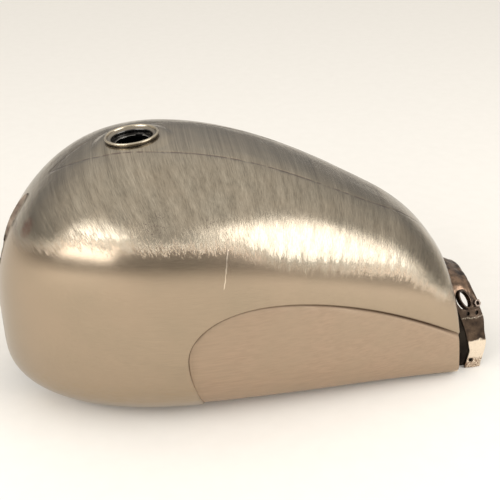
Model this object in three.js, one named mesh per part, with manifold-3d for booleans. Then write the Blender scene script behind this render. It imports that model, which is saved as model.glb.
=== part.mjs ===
// A bare welded steel motorcycle fuel tank: two pressed side shells, a leaf-shaped top panel, set-in knee
// panels, a tunnel that straddles the frame, a steering-head notch, a filler neck and a rear bracket.
// Millimetres. +X is the rear of the motorcycle, +Y its right-hand side, +Z up; the tank rests on z = 0.
import * as THREE from 'three';
import { mergeVertices } from 'three/addons/utils/BufferGeometryUtils.js';
import Module from 'manifold-3d';

const wasm = await Module();
wasm.setup();

// ---- driving dimensions -------------------------------------------------------------------------
const WALL = 1.2;              // sheet thickness of every pressing
const GAP = 0.3;               // room between neighbouring pieces

// Outer form: a round nose, a long body and a tail that rolls over to the rear lip.
const X_FRONT = -271;          // tip of the nose
const X_NOSE = -71;            // the nose rounding begins here
const X_TAIL = 134;            // the tail rounding begins here
const X_REAR = 219;            // plane of the rear lip
const TIP_Z = 81;              // height of the nose tip
const BELLY_Z = -2;            // the belly is pressed flat where it would pass below z = 0
const CREST = [212, 293, 284, 285, 190, 158];    // Bezier heights of the crest line, front to rear
const HALF_WIDTH = [132, 160, 155, 113, 83];     // Bezier half widths, front to rear
const WIDEST_Z = [160, 165, 109, 25];            // Bezier heights of the widest line, front to rear
const NOSE_WIDTH_POWER = 2.2;
const NOSE_CREST_POWER = 3.6;
const NOSE_BELLY_POWER = 3.5;
const TAIL_POWER = 2.2;
const TAIL_DROP = 52;          // how far the crest falls in the tail rounding
const TAIL_PINCH = 4;          // how far each side comes in there
const TAIL_LEAN = 0.085;       // the rear lip leans forward by this much per millimetre of height
const TAIL_LEAN_Z = 35;        // height at which it stands at X_REAR
const CENTRING = 5.5;          // moves the whole tank so that its length is centred on x = 0
const TOP_POWER = 2.6;         // superellipse powers of a section above and below its widest line
const BELLY_POWER = 3.3;
const STATIONS = { nose: 8, body: 6, tail: 4 };
const AROUND = 36;

// Top panel: a leaf-shaped strip along the crest.
const LEAF_FRONT = -206;
const LEAF_REAR = 198;
const LEAF_HALF_WIDTH = 46;
const LEAF_LENGTH_POWER = 3;
const LEAF_WIDTH_POWER = 1.2;

// Knee panels, set into the sides behind a turned-in edge.
const KNEE_FRONT = -81;
const KNEE_TOP = 142;
const KNEE_SHALLOW = 1.5;      // depth of the recess at the belly and at the rear lip
const KNEE_EXTRA = 4;          // further depth along its top and front edge
const KNEE_LAP = 1.5;          // how far the panel reaches behind the turned-in edge
const KNEE_FADE_X = 53;        // behind this the recess runs out

const FLOOR_SPLIT = 5;         // height of the parting between side shells and floor panels

// Tunnel for the frame backbone, and the notch that clears the steering head.
const TUNNEL = { halfWidth: 34, frontTop: 118, rearTop: 66, wall: 1.5, sides: 10 };
const CUP = { x: -142, z: 50, radius: 17, wall: 2, depth: 13 };
const NOTCH_X = -230;          // bottom of the parabolic notch
const NOTCH_FOCUS = 22;        // half width squared = NOTCH_FOCUS times depth
const NOTCH_DEPTH = 55;

const LIP = 3.5;               // width of the turned-in flange at the rear lip
const REAR_PANEL_X = 205;

// Seats in the floor for the fuel tap and the balance pipe, and the breather that drains the filler.
const BUNG = { x: 53, y: 52, radius: 10, bore: 5.5, height: 16 };
const BREATHER = { x: -62, y: -58, radius: 4, bore: 2.8 };
const BREATHER_ROUTE = [[-80, -14, 254], [-74, -28, 244], [-65, -48, 215], [-62, -58, 175],
  [-62, -58, 120], [-62, -58, 60], [-62, -58, 1]];

// Baffles: where each stands, and its holes as half spacing, height and radius.
const FRONT_BAFFLE = { x: -30, holes: [[74, 83, 19], [69, 175, 15]] };
const REAR_BAFFLE = { x: 90, holes: [[70, 74, 15], [46, 152, 11]] };

// Filler
const FILLER_X = -122;
const NECK_BORE = 21;
const NECK_RIM = 27.75;
const NECK_DEPTH = 24;
const BAYONET = { top: -4, bottom: -7, reach: 3.6, slot: 9, bite: 2, turn: 0.42 };

// Rear bracket: a hood behind the lip, ending in a leg on each side. A second layer behind each leg reaches
// forward to the lip and closes the leg's small holes from inside.
const HOOD = {
  front: 212, rear: 257, halfWidth: 57, top: 104, wall: 2.5, power: 3, steps: 6, around: 20,
};
const HOOD_FALL = 27;          // how far its top falls from front to rear
const HOOD_HOLE = { x: 229, y: 44, z: 81.5, long: 9.7, short: 6 };
const COLLAR = { wall: 2, length: 6 };
const LEG_HOLES = [[233.5, 66.5, 2.2], [244, 66, 2.2], [240, 10, 2.6]];    // x, z and radius
const BRACKET_FRONT = [[180, -20], [233.5, -20], [233.5, 2], [237.9, 21], [236, 29], [229.8, 50],
  [223.6, 66], [216, 84], [213, 112], [180, 112]];    // cut away in front, x and z
const BRACKET_REAR = [[238.5, 130], [238.5, 95], [242.5, 84.5], [249.6, 68], [252.6, 60], [253.2, 46],
  [256.5, 31], [255.8, 23], [252, 5], [252, -20], [308, -20], [308, 130]];    // cut away behind
const WEB = { outline: [[222.6, 2], [250, 2], [250, 71], [216.9, 71]], inset: 2, wall: 2.5 };
const NUT = { x: 243, z: 75, radius: 4.6, bore: 2.2, height: 4, clearance: 0.5 };
const NUT_AXIS = [0.37, -0.75, 0.545];

// ---- materials ----------------------------------------------------------------------------------
const steel = (color, roughness) => new THREE.MeshStandardMaterial({ color, roughness, metalness: 1 });
const BRUSHED = () => steel(0x9a9488, 0.42);
const SATIN = () => steel(0xb5aa98, 0.3);
const MATTE = () => steel(0xb59c80, 0.6);
const RAW = () => steel(0x6d6259, 0.5);

// ---- solids -------------------------------------------------------------------------------------
function toSolid(geometry) {
  const bare = geometry.clone();
  bare.deleteAttribute('normal');
  bare.deleteAttribute('uv');
  const merged = mergeVertices(bare, 1e-4);
  const mesh = new wasm.Mesh({
    numProp: 3,
    vertProperties: new Float32Array(merged.attributes.position.array),
    triVerts: new Uint32Array(merged.index.array),
  });
  mesh.merge();
  return new wasm.Manifold(mesh);
}

function toGeometry(solid) {
  const { vertProperties, triVerts, numProp } = solid.getMesh();
  const points = [];
  for (let i = 0; i < vertProperties.length; i += numProp) points.push(...vertProperties.slice(i, i + 3));
  const geometry = new THREE.BufferGeometry();
  geometry.setAttribute('position', new THREE.Float32BufferAttribute(points, 3));
  geometry.setIndex(Array.from(triVerts));
  geometry.computeVertexNormals();
  return geometry;
}

// A closed solid from rings of equal length; a ring of one point is a pole. Other ends get a flat cap.
function loft(rings) {
  const points = [];
  const faces = [];
  const starts = rings.map((ring) => {
    points.push(...ring);
    return points.length - ring.length;
  });
  const count = Math.max(...rings.map((ring) => ring.length));
  const index = (r, i) => starts[r] + (rings[r].length === 1 ? 0 : i % count);
  for (let r = 0; r + 1 < rings.length; r += 1) {
    for (let i = 0; i < count; i += 1) {
      const [a, b, c, d] = [index(r, i), index(r, i + 1), index(r + 1, i + 1), index(r + 1, i)];
      if (a !== b) faces.push([a, b, c]);
      if (c !== d) faces.push([a, c, d]);
    }
  }
  [[0, true], [rings.length - 1, false]].forEach(([r, first]) => {
    if (rings[r].length === 1) return;
    const centre = new THREE.Vector3();
    rings[r].forEach((p) => centre.addScaledVector(p, 1 / count));
    points.push(centre);
    for (let i = 0; i < count; i += 1) {
      const [a, b, c] = [points.length - 1, index(r, i), index(r, i + 1)];
      faces.push(first ? [a, c, b] : [a, b, c]);
    }
  });
  const geometry = new THREE.BufferGeometry();
  const values = points.flatMap((p) => p.toArray());
  geometry.setAttribute('position', new THREE.Float32BufferAttribute(values, 3));
  geometry.setIndex(faces.flat());
  const solid = toSolid(geometry);
  if (solid.volume() > 0) return solid;
  geometry.setIndex(faces.map(([a, b, c]) => [a, c, b]).flat());
  return toSolid(geometry);
}

function box(x0, x1, y0, y1, z0, z1) {
  const geometry = new THREE.BoxGeometry(x1 - x0, y1 - y0, z1 - z0);
  geometry.translate((x0 + x1) / 2, (y0 + y1) / 2, (z0 + z1) / 2);
  return toSolid(geometry);
}

const extrude = (shape, depth, curveSegments = 12) =>
  new THREE.ExtrudeGeometry(shape, { depth, bevelEnabled: false, curveSegments });

// A prism whose outline is drawn in the X-Y plane, between two heights.
function uprightPrism(shape, z0, z1, curveSegments) {
  return toSolid(extrude(shape, z1 - z0, curveSegments).translate(0, 0, z0));
}

// A prism whose outline is drawn in the X-Z plane, between two Y values.
function sidewaysPrism(shape, y0, y1, curveSegments) {
  return toSolid(extrude(shape, y1 - y0, curveSegments).rotateX(Math.PI / 2).translate(0, y1, 0));
}

// A round or oval bar along a direction, centred on a point.
function bar(centre, direction, radius, length, sides = 24, stretch = null) {
  const geometry = new THREE.CylinderGeometry(radius, radius, length, sides);
  const up = direction.clone().normalize();
  const across = Math.abs(up.x) > 0.9 ? new THREE.Vector3(0, 0, 1) : new THREE.Vector3(1, 0, 0);
  const along = (stretch ? stretch.direction.clone() : across).projectOnPlane(up).normalize();
  if (stretch) geometry.scale(stretch.radius / radius, 1, 1);
  geometry.applyMatrix4(new THREE.Matrix4().makeBasis(along, up, along.clone().cross(up)));
  geometry.translate(centre.x, centre.y, centre.z);
  return toSolid(geometry);
}

const ALL = 700;               // larger than the tank
const UP = new THREE.Vector3(0, 0, 1);
const ACROSS = new THREE.Vector3(0, 1, 0);
const REARWARD = new THREE.Vector3(1, 0, 0);
const LEFT = box(-ALL, ALL, -ALL, -GAP / 2, -ALL, ALL);
const RIGHT = box(-ALL, ALL, GAP / 2, ALL, -ALL, ALL);
const above = (z) => box(-ALL, ALL, -ALL, ALL, z, ALL);

// ---- outer form ---------------------------------------------------------------------------------
function bezier(values, t) {
  let row = values;
  while (row.length > 1) row = row.slice(1).map((value, i) => row[i] + (value - row[i]) * t);
  return row[0];
}

// How much of a rounding is left at a fraction of the way to its end.
const rounding = (fraction, power) => (1 - Math.min(1, Math.max(0, fraction)) ** power) ** (1 / power);

function sectionAt(x) {
  const t = (x - X_FRONT) / (X_REAR - X_FRONT);
  const noseward = (X_NOSE - x) / (X_NOSE - X_FRONT);
  const tail = 1 - rounding((x - X_TAIL) / (X_REAR - X_TAIL), TAIL_POWER);
  const wide = rounding(noseward, NOSE_WIDTH_POWER);
  return {
    halfWidth: (bezier(HALF_WIDTH, t) - TAIL_PINCH * tail) * wide,
    top: TIP_Z + (bezier(CREST, t) - TAIL_DROP * tail - TIP_Z) * rounding(noseward, NOSE_CREST_POWER),
    widest: TIP_Z + (bezier(WIDEST_Z, t) - TIP_Z) * wide,
    bottom: TIP_Z + (BELLY_Z - TIP_Z) * rounding(noseward, NOSE_BELLY_POWER),
  };
}

// Station 0 is the nose tip, 1 and 2 bound the straight part of the body, 3 is the rear lip.
function stationX(station) {
  if (station < 1) return X_NOSE - (X_NOSE - X_FRONT) * Math.cos(station * Math.PI / 2);
  if (station < 2) return X_NOSE + (X_TAIL - X_NOSE) * (station - 1);
  return X_TAIL + (X_REAR - X_TAIL) * Math.sin((station - 2) * Math.PI / 2);
}

function formPoint(station, angle) {
  const x = stationX(station);
  const { halfWidth, top, widest, bottom } = sectionAt(x);
  const [c, s] = [Math.cos(angle), Math.sin(angle)];
  const power = c >= 0 ? TOP_POWER : BELLY_POWER;
  const reach = c >= 0 ? top - widest : bottom - widest;
  const z = widest + reach * Math.abs(c) ** (2 / power);
  const aft = Math.max(0, (x - X_TAIL) / (X_REAR - X_TAIL));
  return new THREE.Vector3(
    x - TAIL_LEAN * (z - TAIL_LEAN_Z) * aft ** 2,
    Math.sign(s) * halfWidth * Math.abs(s) ** (2 / power),
    z,
  );
}

function formNormal(station, angle) {
  if (station < 1e-6) return new THREE.Vector3(-1, 0, 0);
  const step = 1e-3;
  const [low, high] = [Math.max(1e-6, station - step), Math.min(3, station + step)];
  const lengthwise = formPoint(high, angle).sub(formPoint(low, angle));
  const around = formPoint(station, angle + step).sub(formPoint(station, angle - step));
  return lengthwise.cross(around).normalize();
}

// The form, moved in by depth(point), and pressed flat along the belly.
function form(depth) {
  const stations = [0];
  [STATIONS.nose, STATIONS.body, STATIONS.tail].forEach((steps, zone) => {
    for (let i = 1; i <= steps; i += 1) stations.push(zone + i / steps);
  });
  const rings = stations.map((station) => {
    const ring = [];
    for (let i = 0; i < (station === 0 ? 1 : AROUND); i += 1) {
      const angle = (i / AROUND) * 2 * Math.PI;
      const point = formPoint(station, angle);
      ring.push(point.addScaledVector(formNormal(station, angle), -depth(point)));
    }
    return ring;
  });
  return loft(rings);
}

const inside = (depth) => form(() => depth).intersect(above(depth));
const outer = form(() => 0).intersect(above(0));
const inner = inside(WALL);

// ---- cutters ------------------------------------------------------------------------------------
function leafShape(grow) {
  const middle = (LEAF_FRONT + LEAF_REAR) / 2;
  const half = (LEAF_REAR - LEAF_FRONT) / 2 + grow;
  const width = LEAF_HALF_WIDTH + grow;
  const edge = [];
  for (let i = 0; i <= 32; i += 1) {
    const s = -Math.cos((i / 32) * Math.PI);
    const left = Math.max(0, 1 - Math.abs(s) ** LEAF_LENGTH_POWER);
    edge.push([middle + half * s, width * left ** (1 / LEAF_WIDTH_POWER)]);
  }
  const points = [...edge, ...edge.slice(1, -1).reverse().map(([x, y]) => [x, -y])];
  return new THREE.Shape(points.map(([x, y]) => new THREE.Vector2(x, y)));
}
const leaf = (grow) => uprightPrism(leafShape(grow), 100, 400);

function kneeShape(grow) {
  const shape = new THREE.Shape();
  const [front, top] = [KNEE_FRONT - grow, KNEE_TOP + grow];
  shape.moveTo(-57 - grow, -9);
  shape.bezierCurveTo(-66 - grow, 28, front, 64, front, 92);
  shape.bezierCurveTo(front, 124 + grow, -48, top, -7, top);
  shape.bezierCurveTo(62, top, 164, 97 + grow, 237, 44 + grow);
  shape.lineTo(237, -9);
  return shape;
}
const knee = (grow) => sidewaysPrism(kneeShape(grow), -ALL, ALL, 10);

// Depth of the knee recess below the outer form, with an extra depth for what lies behind it.
function kneeDepth(extra) {
  return (point) => {
    const rearward = Math.min(1, Math.max(0, (point.x - KNEE_FADE_X) / (X_REAR - KNEE_FADE_X)));
    const height = Math.min(1, Math.max(0, point.z / KNEE_TOP));
    return KNEE_SHALLOW + KNEE_EXTRA * (1 - rearward ** 2) * height + extra;
  };
}

function archRing(x, grow) {
  const along = (x - X_FRONT) / (X_REAR - X_FRONT);
  const top = TUNNEL.frontTop + (TUNNEL.rearTop - TUNNEL.frontTop) * along + grow;
  const half = TUNNEL.halfWidth + grow;
  const ring = [new THREE.Vector3(x, half, -5), new THREE.Vector3(x, -half, -5)];
  for (let i = 0; i <= TUNNEL.sides; i += 1) {
    const angle = (i / TUNNEL.sides) * Math.PI;
    ring.push(new THREE.Vector3(x, -half * Math.cos(angle), top - half + half * Math.sin(angle)));
  }
  return ring;
}
const arch = (grow) => loft([archRing(X_FRONT - 10, grow), archRing(X_REAR + 10, grow)]);

function notch(grow) {
  const points = [];
  for (let i = -8; i <= 8; i += 1) {
    const y = (i / 8) * Math.sqrt(NOTCH_FOCUS * NOTCH_DEPTH);
    const slope = 2 * y / NOTCH_FOCUS;
    const back = grow / Math.hypot(1, slope);
    points.push(new THREE.Vector2(NOTCH_X - y * y / NOTCH_FOCUS + back, y + slope * back));
  }
  return uprightPrism(new THREE.Shape(points), -10, 400);
}

function rearMouth() {
  const { halfWidth, top, widest } = sectionAt(X_REAR);
  const points = [];
  for (let i = 0; i < AROUND; i += 1) {
    const angle = (i / AROUND) * 2 * Math.PI;
    const [c, s] = [Math.cos(angle), Math.sin(angle)];
    const power = c >= 0 ? TOP_POWER : BELLY_POWER;
    const reach = c >= 0 ? top - LIP - widest : LIP - widest;
    points.push(new THREE.Vector3(
      0,
      Math.sign(s) * (halfWidth - LIP) * Math.abs(s) ** (2 / power),
      widest + reach * Math.abs(c) ** (2 / power),
    ));
  }
  const ring = (x) => points.map((p) => new THREE.Vector3(x, p.y, p.z));
  return loft([ring(X_REAR - 14), ring(X_REAR + 10)]);
}

// Filler frame: origin on the crest, the axis square to it.
const fillerSlope = (sectionAt(FILLER_X + 1).top - sectionAt(FILLER_X - 1).top) / 2;
const fillerTilt = Math.atan(fillerSlope);
const fillerOrigin = new THREE.Vector3(FILLER_X, 0, sectionAt(FILLER_X).top);
const fillerAxis = new THREE.Vector3(-Math.sin(fillerTilt), 0, Math.cos(fillerTilt));
const fillerHole = bar(fillerOrigin, fillerAxis, NECK_BORE + 3, 40, 40);

const floorHoles = [
  bar(new THREE.Vector3(BUNG.x, BUNG.y, 0), UP, BUNG.radius + GAP, 40, 24),
  bar(new THREE.Vector3(BUNG.x, -BUNG.y, 0), UP, BUNG.radius + GAP, 40, 24),
  bar(new THREE.Vector3(BREATHER.x, BREATHER.y, 0), UP, BREATHER.radius + GAP, 40, 16),
];

// ---- pressings ----------------------------------------------------------------------------------
const tunnelRoom = arch(TUNNEL.wall + GAP);
const notchRoom = notch(WALL + GAP);
const mouth = rearMouth();
const skin = outer.subtract(inner).subtract(mouth).subtract(tunnelRoom)
  .subtract(notchRoom).subtract(fillerHole);
const topPanel = skin.intersect(leaf(-GAP / 2));
const turnedEdge = outer.subtract(form(kneeDepth(-GAP))).intersect(knee(KNEE_LAP))
  .subtract(tunnelRoom).subtract(mouth);
const sides = skin.subtract(leaf(GAP / 2)).add(turnedEdge).subtract(knee(0))
  .intersect(above(FLOOR_SPLIT + GAP / 2));
let floors = skin.subtract(above(FLOOR_SPLIT - GAP / 2));
floorHoles.forEach((hole) => { floors = floors.subtract(hole); });

const kneePanels = form(kneeDepth(0)).subtract(form(kneeDepth(WALL))).intersect(knee(KNEE_LAP))
  .intersect(above(FLOOR_SPLIT + GAP / 2)).intersect(box(-ALL, X_REAR, -ALL, ALL, 0, ALL))
  .subtract(mouth).subtract(tunnelRoom);
const kneeBlock = outer.subtract(form(kneeDepth(WALL + GAP))).intersect(knee(KNEE_LAP + GAP));
const room = inside(WALL + GAP).subtract(kneeBlock).subtract(tunnelRoom)
  .intersect(above(FLOOR_SPLIT + GAP));

const notchPanel = notch(WALL).subtract(notch(0)).intersect(outer).subtract(tunnelRoom)
  .intersect(above(TUNNEL.rearTop));
const tunnel = arch(TUNNEL.wall).subtract(arch(0)).intersect(outer).subtract(notchRoom);
const rearPanel = room.intersect(box(REAR_PANEL_X, REAR_PANEL_X + WALL, -ALL, ALL, -ALL, ALL));

// ---- inside the tank ----------------------------------------------------------------------------
function baffle({ x, holes }) {
  let plate = room.intersect(box(x, x + WALL, -ALL, ALL, -ALL, ALL));
  holes.forEach(([y, z, radius]) => [-1, 1].forEach((side) => {
    plate = plate.subtract(bar(new THREE.Vector3(x, side * y, z), REARWARD, radius, 10, 20));
  }));
  return plate;
}

function bung(side) {
  const centre = new THREE.Vector3(BUNG.x, side * BUNG.y, BUNG.height / 2);
  const bore = bar(centre, UP, BUNG.bore, BUNG.height + 4, 20);
  return bar(centre, UP, BUNG.radius, BUNG.height, 24).subtract(bore);
}

function breatherPipe() {
  const circle = (radius) => new THREE.Path().absarc(0, 0, radius, 0, 2 * Math.PI);
  const ring = (radius) => circle(radius).getSpacedPoints(8).slice(0, 8);
  const section = new THREE.Shape(ring(BREATHER.radius));
  section.holes.push(new THREE.Path(ring(BREATHER.bore)));
  const route = new THREE.CatmullRomCurve3(BREATHER_ROUTE.map((p) => new THREE.Vector3(...p)));
  return new THREE.ExtrudeGeometry(section, { steps: 16, extrudePath: route, bevelEnabled: false });
}

// Cup that slides over a rubber buffer on the frame: closed against the tunnel wall, open inwards.
function mountCup(side) {
  const y = side * (TUNNEL.halfWidth - GAP);
  const at = (inward) => new THREE.Vector3(CUP.x, y - side * inward, CUP.z);
  return bar(at(CUP.depth / 2), ACROSS, CUP.radius, CUP.depth, 28)
    .subtract(bar(at(CUP.wall + CUP.depth), ACROSS, CUP.radius - CUP.wall, 2 * CUP.depth, 28));
}

// ---- filler -------------------------------------------------------------------------------------
function fillerLathe(profile, segments) {
  const points = profile.map(([r, h]) => new THREE.Vector2(r, h));
  const geometry = new THREE.LatheGeometry([...points, points[0].clone()], segments);
  return geometry.rotateX(Math.PI / 2);
}

const NECK_PROFILE = [
  [NECK_BORE, -NECK_DEPTH], [NECK_BORE + WALL, -NECK_DEPTH], [NECK_BORE + WALL, 0.2],
  [NECK_RIM - 2, 1.0], [NECK_RIM - 0.4, 1.2], [NECK_RIM, 2.4], [NECK_RIM - 1.2, 4.0],
  [NECK_RIM - 3.2, 4.4], [NECK_BORE + 1.6, 2.6], [NECK_BORE, 0.4],
];
const BACKING_PROFILE = [
  [NECK_BORE + WALL + GAP, -9], [NECK_BORE + 12, -9],
  [NECK_BORE + 12, -7.6], [NECK_BORE + WALL + GAP, -7.6],
];

// Inward flange that the cap's tongues turn under, with two notches that let them pass.
function bayonetRing() {
  const { top, bottom, reach, slot, bite, turn } = BAYONET;
  const [inmost, outmost] = [NECK_BORE - reach, NECK_BORE - GAP];
  const profile = [[inmost, bottom], [outmost, bottom], [outmost, top], [inmost, top]];
  const ring = toSolid(fillerLathe(profile, 28));
  const notches = box(-slot / 2, slot / 2, -inmost - bite, inmost + bite, bottom - 1, top + 1);
  return toGeometry(ring.subtract(notches)).rotateZ(-turn);
}

// ---- rear bracket -------------------------------------------------------------------------------
function hoodRing(fraction, shrink, x) {
  const top = HOOD.top - HOOD_FALL * fraction ** 2 - shrink;
  const half = HOOD.halfWidth - shrink;
  const ring = [];
  for (let i = 0; i < HOOD.around; i += 1) {
    const angle = (i / (HOOD.around - 1) - 0.5) * Math.PI;
    const [c, s] = [Math.cos(angle), Math.sin(angle)];
    const y = half * Math.sign(s) * Math.abs(s) ** (2 / HOOD.power);
    ring.push(new THREE.Vector3(x, y, Math.max(top, 6) * c ** (2 / HOOD.power)));
  }
  ring[0].z = -6;
  ring[HOOD.around - 1].z = -6;
  return ring;
}

function hood(shrink, overrun) {
  const rings = [];
  for (let i = 0; i <= HOOD.steps; i += 1) {
    const fraction = i / HOOD.steps;
    const x = HOOD.front - overrun + (HOOD.rear - HOOD.front + 2 * overrun) * fraction;
    rings.push(hoodRing((x - HOOD.front) / (HOOD.rear - HOOD.front), shrink, x));
  }
  return loft(rings);
}

const profilePrism = (points) =>
  sidewaysPrism(new THREE.Shape(points.map(([x, z]) => new THREE.Vector2(x, z))), -ALL, ALL);
const hoodHole = (side) => new THREE.Vector3(HOOD_HOLE.x, side * HOOD_HOLE.y, HOOD_HOLE.z);
const hoodAxis = (side) => new THREE.Vector3(0.42, side * 0.66, 0.62).normalize();
const hoodLong = (side) => new THREE.Vector3(0.54, side * 0.6, -0.59);

// An oval bar through the shoulder of the hood, larger than the hole by grow.
function oval(side, grow, length) {
  return bar(hoodHole(side), hoodAxis(side), HOOD_HOLE.short + grow, length, 20,
    { direction: hoodLong(side), radius: HOOD_HOLE.long + grow });
}
const collar = (side) => oval(side, COLLAR.wall, COLLAR.length).subtract(oval(side, 0, 20));

// The nut is welded to the left shoulder of the hood, near its rear edge.
const nutAxis = new THREE.Vector3(...NUT_AXIS).normalize();
const nutHoodTop = HOOD.top - HOOD_FALL * ((NUT.x - HOOD.front) / (HOOD.rear - HOOD.front)) ** 2;
const nutReach = (1 - (NUT.z / nutHoodTop) ** HOOD.power) ** (1 / HOOD.power);
const nutSeat = new THREE.Vector3(NUT.x, -HOOD.halfWidth * nutReach, NUT.z);
function bracketNut() {
  const centre = nutSeat.clone().addScaledVector(nutAxis, NUT.clearance + NUT.height / 2);
  return bar(centre, nutAxis, NUT.radius, NUT.height, 6)
    .subtract(bar(centre, nutAxis, NUT.bore, NUT.height + 4, 16));
}

function rearBracket() {
  let plate = hood(0, 0).subtract(hood(HOOD.wall, 3)).subtract(profilePrism(BRACKET_FRONT));
  [-1, 1].forEach((side) => {
    LEG_HOLES.forEach(([x, z, radius]) => {
      plate = plate.subtract(bar(new THREE.Vector3(x, side * HOOD.halfWidth, z), ACROSS, radius, 40, 12));
    });
  });
  const web = hood(WEB.inset, 0).subtract(hood(WEB.inset + WEB.wall, 3))
    .intersect(profilePrism(WEB.outline));
  plate = plate.add(web).subtract(profilePrism(BRACKET_REAR)).intersect(above(0));
  [-1, 1].forEach((side) => {
    plate = plate.subtract(oval(side, COLLAR.wall + GAP, 40));
  });
  return plate.subtract(bar(nutSeat, nutAxis, NUT.bore, 20, 16));
}

// ---- assembly -----------------------------------------------------------------------------------
const tank = new THREE.Group();

function add(name, shape, material) {
  const geometry = shape.isBufferGeometry ? shape : toGeometry(shape);
  const mesh = new THREE.Mesh(geometry, material);
  mesh.name = name;
  tank.add(mesh);
  return mesh;
}

add('top_panel', topPanel, BRUSHED());
add('left_side_shell', sides.intersect(LEFT), SATIN());
add('right_side_shell', sides.intersect(RIGHT), SATIN());
add('left_knee_panel', kneePanels.intersect(LEFT), MATTE());
add('right_knee_panel', kneePanels.intersect(RIGHT), MATTE());
add('left_floor_panel', floors.intersect(LEFT), SATIN());
add('right_floor_panel', floors.intersect(RIGHT), SATIN());
add('head_notch_panel', notchPanel, RAW());
add('tunnel', tunnel, RAW());
add('rear_panel', rearPanel, RAW());
add('front_baffle', baffle(FRONT_BAFFLE), RAW());
add('rear_baffle', baffle(REAR_BAFFLE), RAW());
add('left_tap_bung', bung(-1), RAW());
add('right_tap_bung', bung(1), RAW());
add('breather_pipe', breatherPipe(), RAW());
add('left_mount_cup', mountCup(-1), RAW());
add('right_mount_cup', mountCup(1), RAW());

const filler = new THREE.Group();
filler.position.copy(fillerOrigin);
filler.rotation.y = -fillerTilt;
tank.add(filler);
const fillerPieces = [
  ['filler_neck', fillerLathe(NECK_PROFILE, 36), SATIN()],
  ['filler_backing_ring', fillerLathe(BACKING_PROFILE, 32), RAW()],
  ['filler_bayonet_ring', bayonetRing(), RAW()],
];
fillerPieces.forEach(([name, shape, material]) => filler.add(add(name, shape, material)));

add('rear_bracket', rearBracket(), RAW());
add('left_bracket_collar', collar(-1), RAW());
add('right_bracket_collar', collar(1), RAW());
add('bracket_nut', bracketNut(), RAW());

tank.position.x = CENTRING;

export default tank;
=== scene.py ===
"""Looks of a bare welded steel motorcycle fuel tank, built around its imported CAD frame.

Shapes are worked out in millimetres, in the CAD's own frame, and turned into metres when a mesh is made.
+X is the rear of the motorcycle, +Y its right-hand side, +Z up; the tank rests on z = 0."""
import math

import bmesh
import bpy
import numpy as np
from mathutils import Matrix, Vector

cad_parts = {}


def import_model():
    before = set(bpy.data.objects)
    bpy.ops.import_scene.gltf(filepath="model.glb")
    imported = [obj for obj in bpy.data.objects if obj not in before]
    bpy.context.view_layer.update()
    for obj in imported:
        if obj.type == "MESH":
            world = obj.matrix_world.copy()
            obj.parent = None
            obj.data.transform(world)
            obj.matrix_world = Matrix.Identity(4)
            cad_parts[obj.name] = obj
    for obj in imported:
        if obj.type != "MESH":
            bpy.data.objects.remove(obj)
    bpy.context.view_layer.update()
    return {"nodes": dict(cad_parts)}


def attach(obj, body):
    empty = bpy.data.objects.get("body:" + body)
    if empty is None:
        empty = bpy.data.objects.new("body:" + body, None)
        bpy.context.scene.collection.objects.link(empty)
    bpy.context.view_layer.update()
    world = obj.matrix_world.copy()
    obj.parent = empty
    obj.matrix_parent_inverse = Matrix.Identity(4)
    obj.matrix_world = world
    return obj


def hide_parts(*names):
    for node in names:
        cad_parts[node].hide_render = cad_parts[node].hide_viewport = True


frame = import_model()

MM = 0.001

# ---- the outer form, as in the CAD ---------------------------------------------------------------
WALL = 1.2
X_FRONT, X_NOSE, X_TAIL, X_REAR = -271.0, -71.0, 134.0, 219.0
TIP_Z = 81.0
BELLY_Z = -2.0
CREST = (212, 293, 284, 285, 190, 158)
HALF_WIDTH = (132, 160, 155, 113, 83)
WIDEST_Z = (160, 165, 109, 25)
NOSE_WIDTH_POWER, NOSE_CREST_POWER, NOSE_BELLY_POWER = 2.2, 3.6, 3.5
TAIL_POWER, TAIL_DROP, TAIL_PINCH = 2.2, 52, 4
TAIL_LEAN, TAIL_LEAN_Z = 0.085, 35.0
CENTRING = 5.5                 # from the form's own x to the CAD frame's
TOP_POWER, BELLY_POWER = 2.6, 3.3

LEAF_FRONT, LEAF_REAR, LEAF_HALF_WIDTH = -206.0, 198.0, 46.0
LEAF_LENGTH_POWER, LEAF_WIDTH_POWER = 3, 1.2

KNEE_FRONT, KNEE_TOP = -81.0, 142.0
KNEE_SHALLOW, KNEE_EXTRA, KNEE_FADE_X = 1.5, 4.0, 53.0
KNEE_ROLL = 2.6                # radius of the turned-in edge around each knee panel
KNEE_TUCK = 0.8                # how far a knee panel reaches behind that edge
KNEE_CUT = 0.6                 # a groove pressed along that edge in the panel

FLOOR_SPLIT = 5.0
TUNNEL_HALF, TUNNEL_FRONT_TOP, TUNNEL_REAR_TOP, TUNNEL_WALL = 34.0, 118.0, 66.0, 1.5
NOTCH_X, NOTCH_FOCUS = -230.0, 22.0

REAR_PANEL_X = 205.0
BUNG_X, BUNG_Y, BUNG_RADIUS, BUNG_BORE, BUNG_HEIGHT = 53.0, 52.0, 10.0, 5.5, 16.0
BREATHER_X, BREATHER_Y, BREATHER_RADIUS = -62.0, -58.0, 4.0
CUP_X, CUP_Z, CUP_RADIUS, CUP_WALL, CUP_DEPTH = -142.0, 50.0, 17.0, 2.0, 13.0

FILLER_X, NECK_BORE, NECK_RIM, NECK_DEPTH = -122.0, 21.0, 27.75, 24.0
SEAT_FLAT, SEAT_EDGE, SEAT_RISE = 29.0, 44.0, 0.25    # the seat around the neck, gentler than in the CAD
BAYONET_TOP, BAYONET_BOTTOM, BAYONET_REACH, BAYONET_SLOT, BAYONET_BITE = -4.0, -7.0, 3.6, 9.0, 2.0
BAYONET_TURN = 0.42

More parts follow.
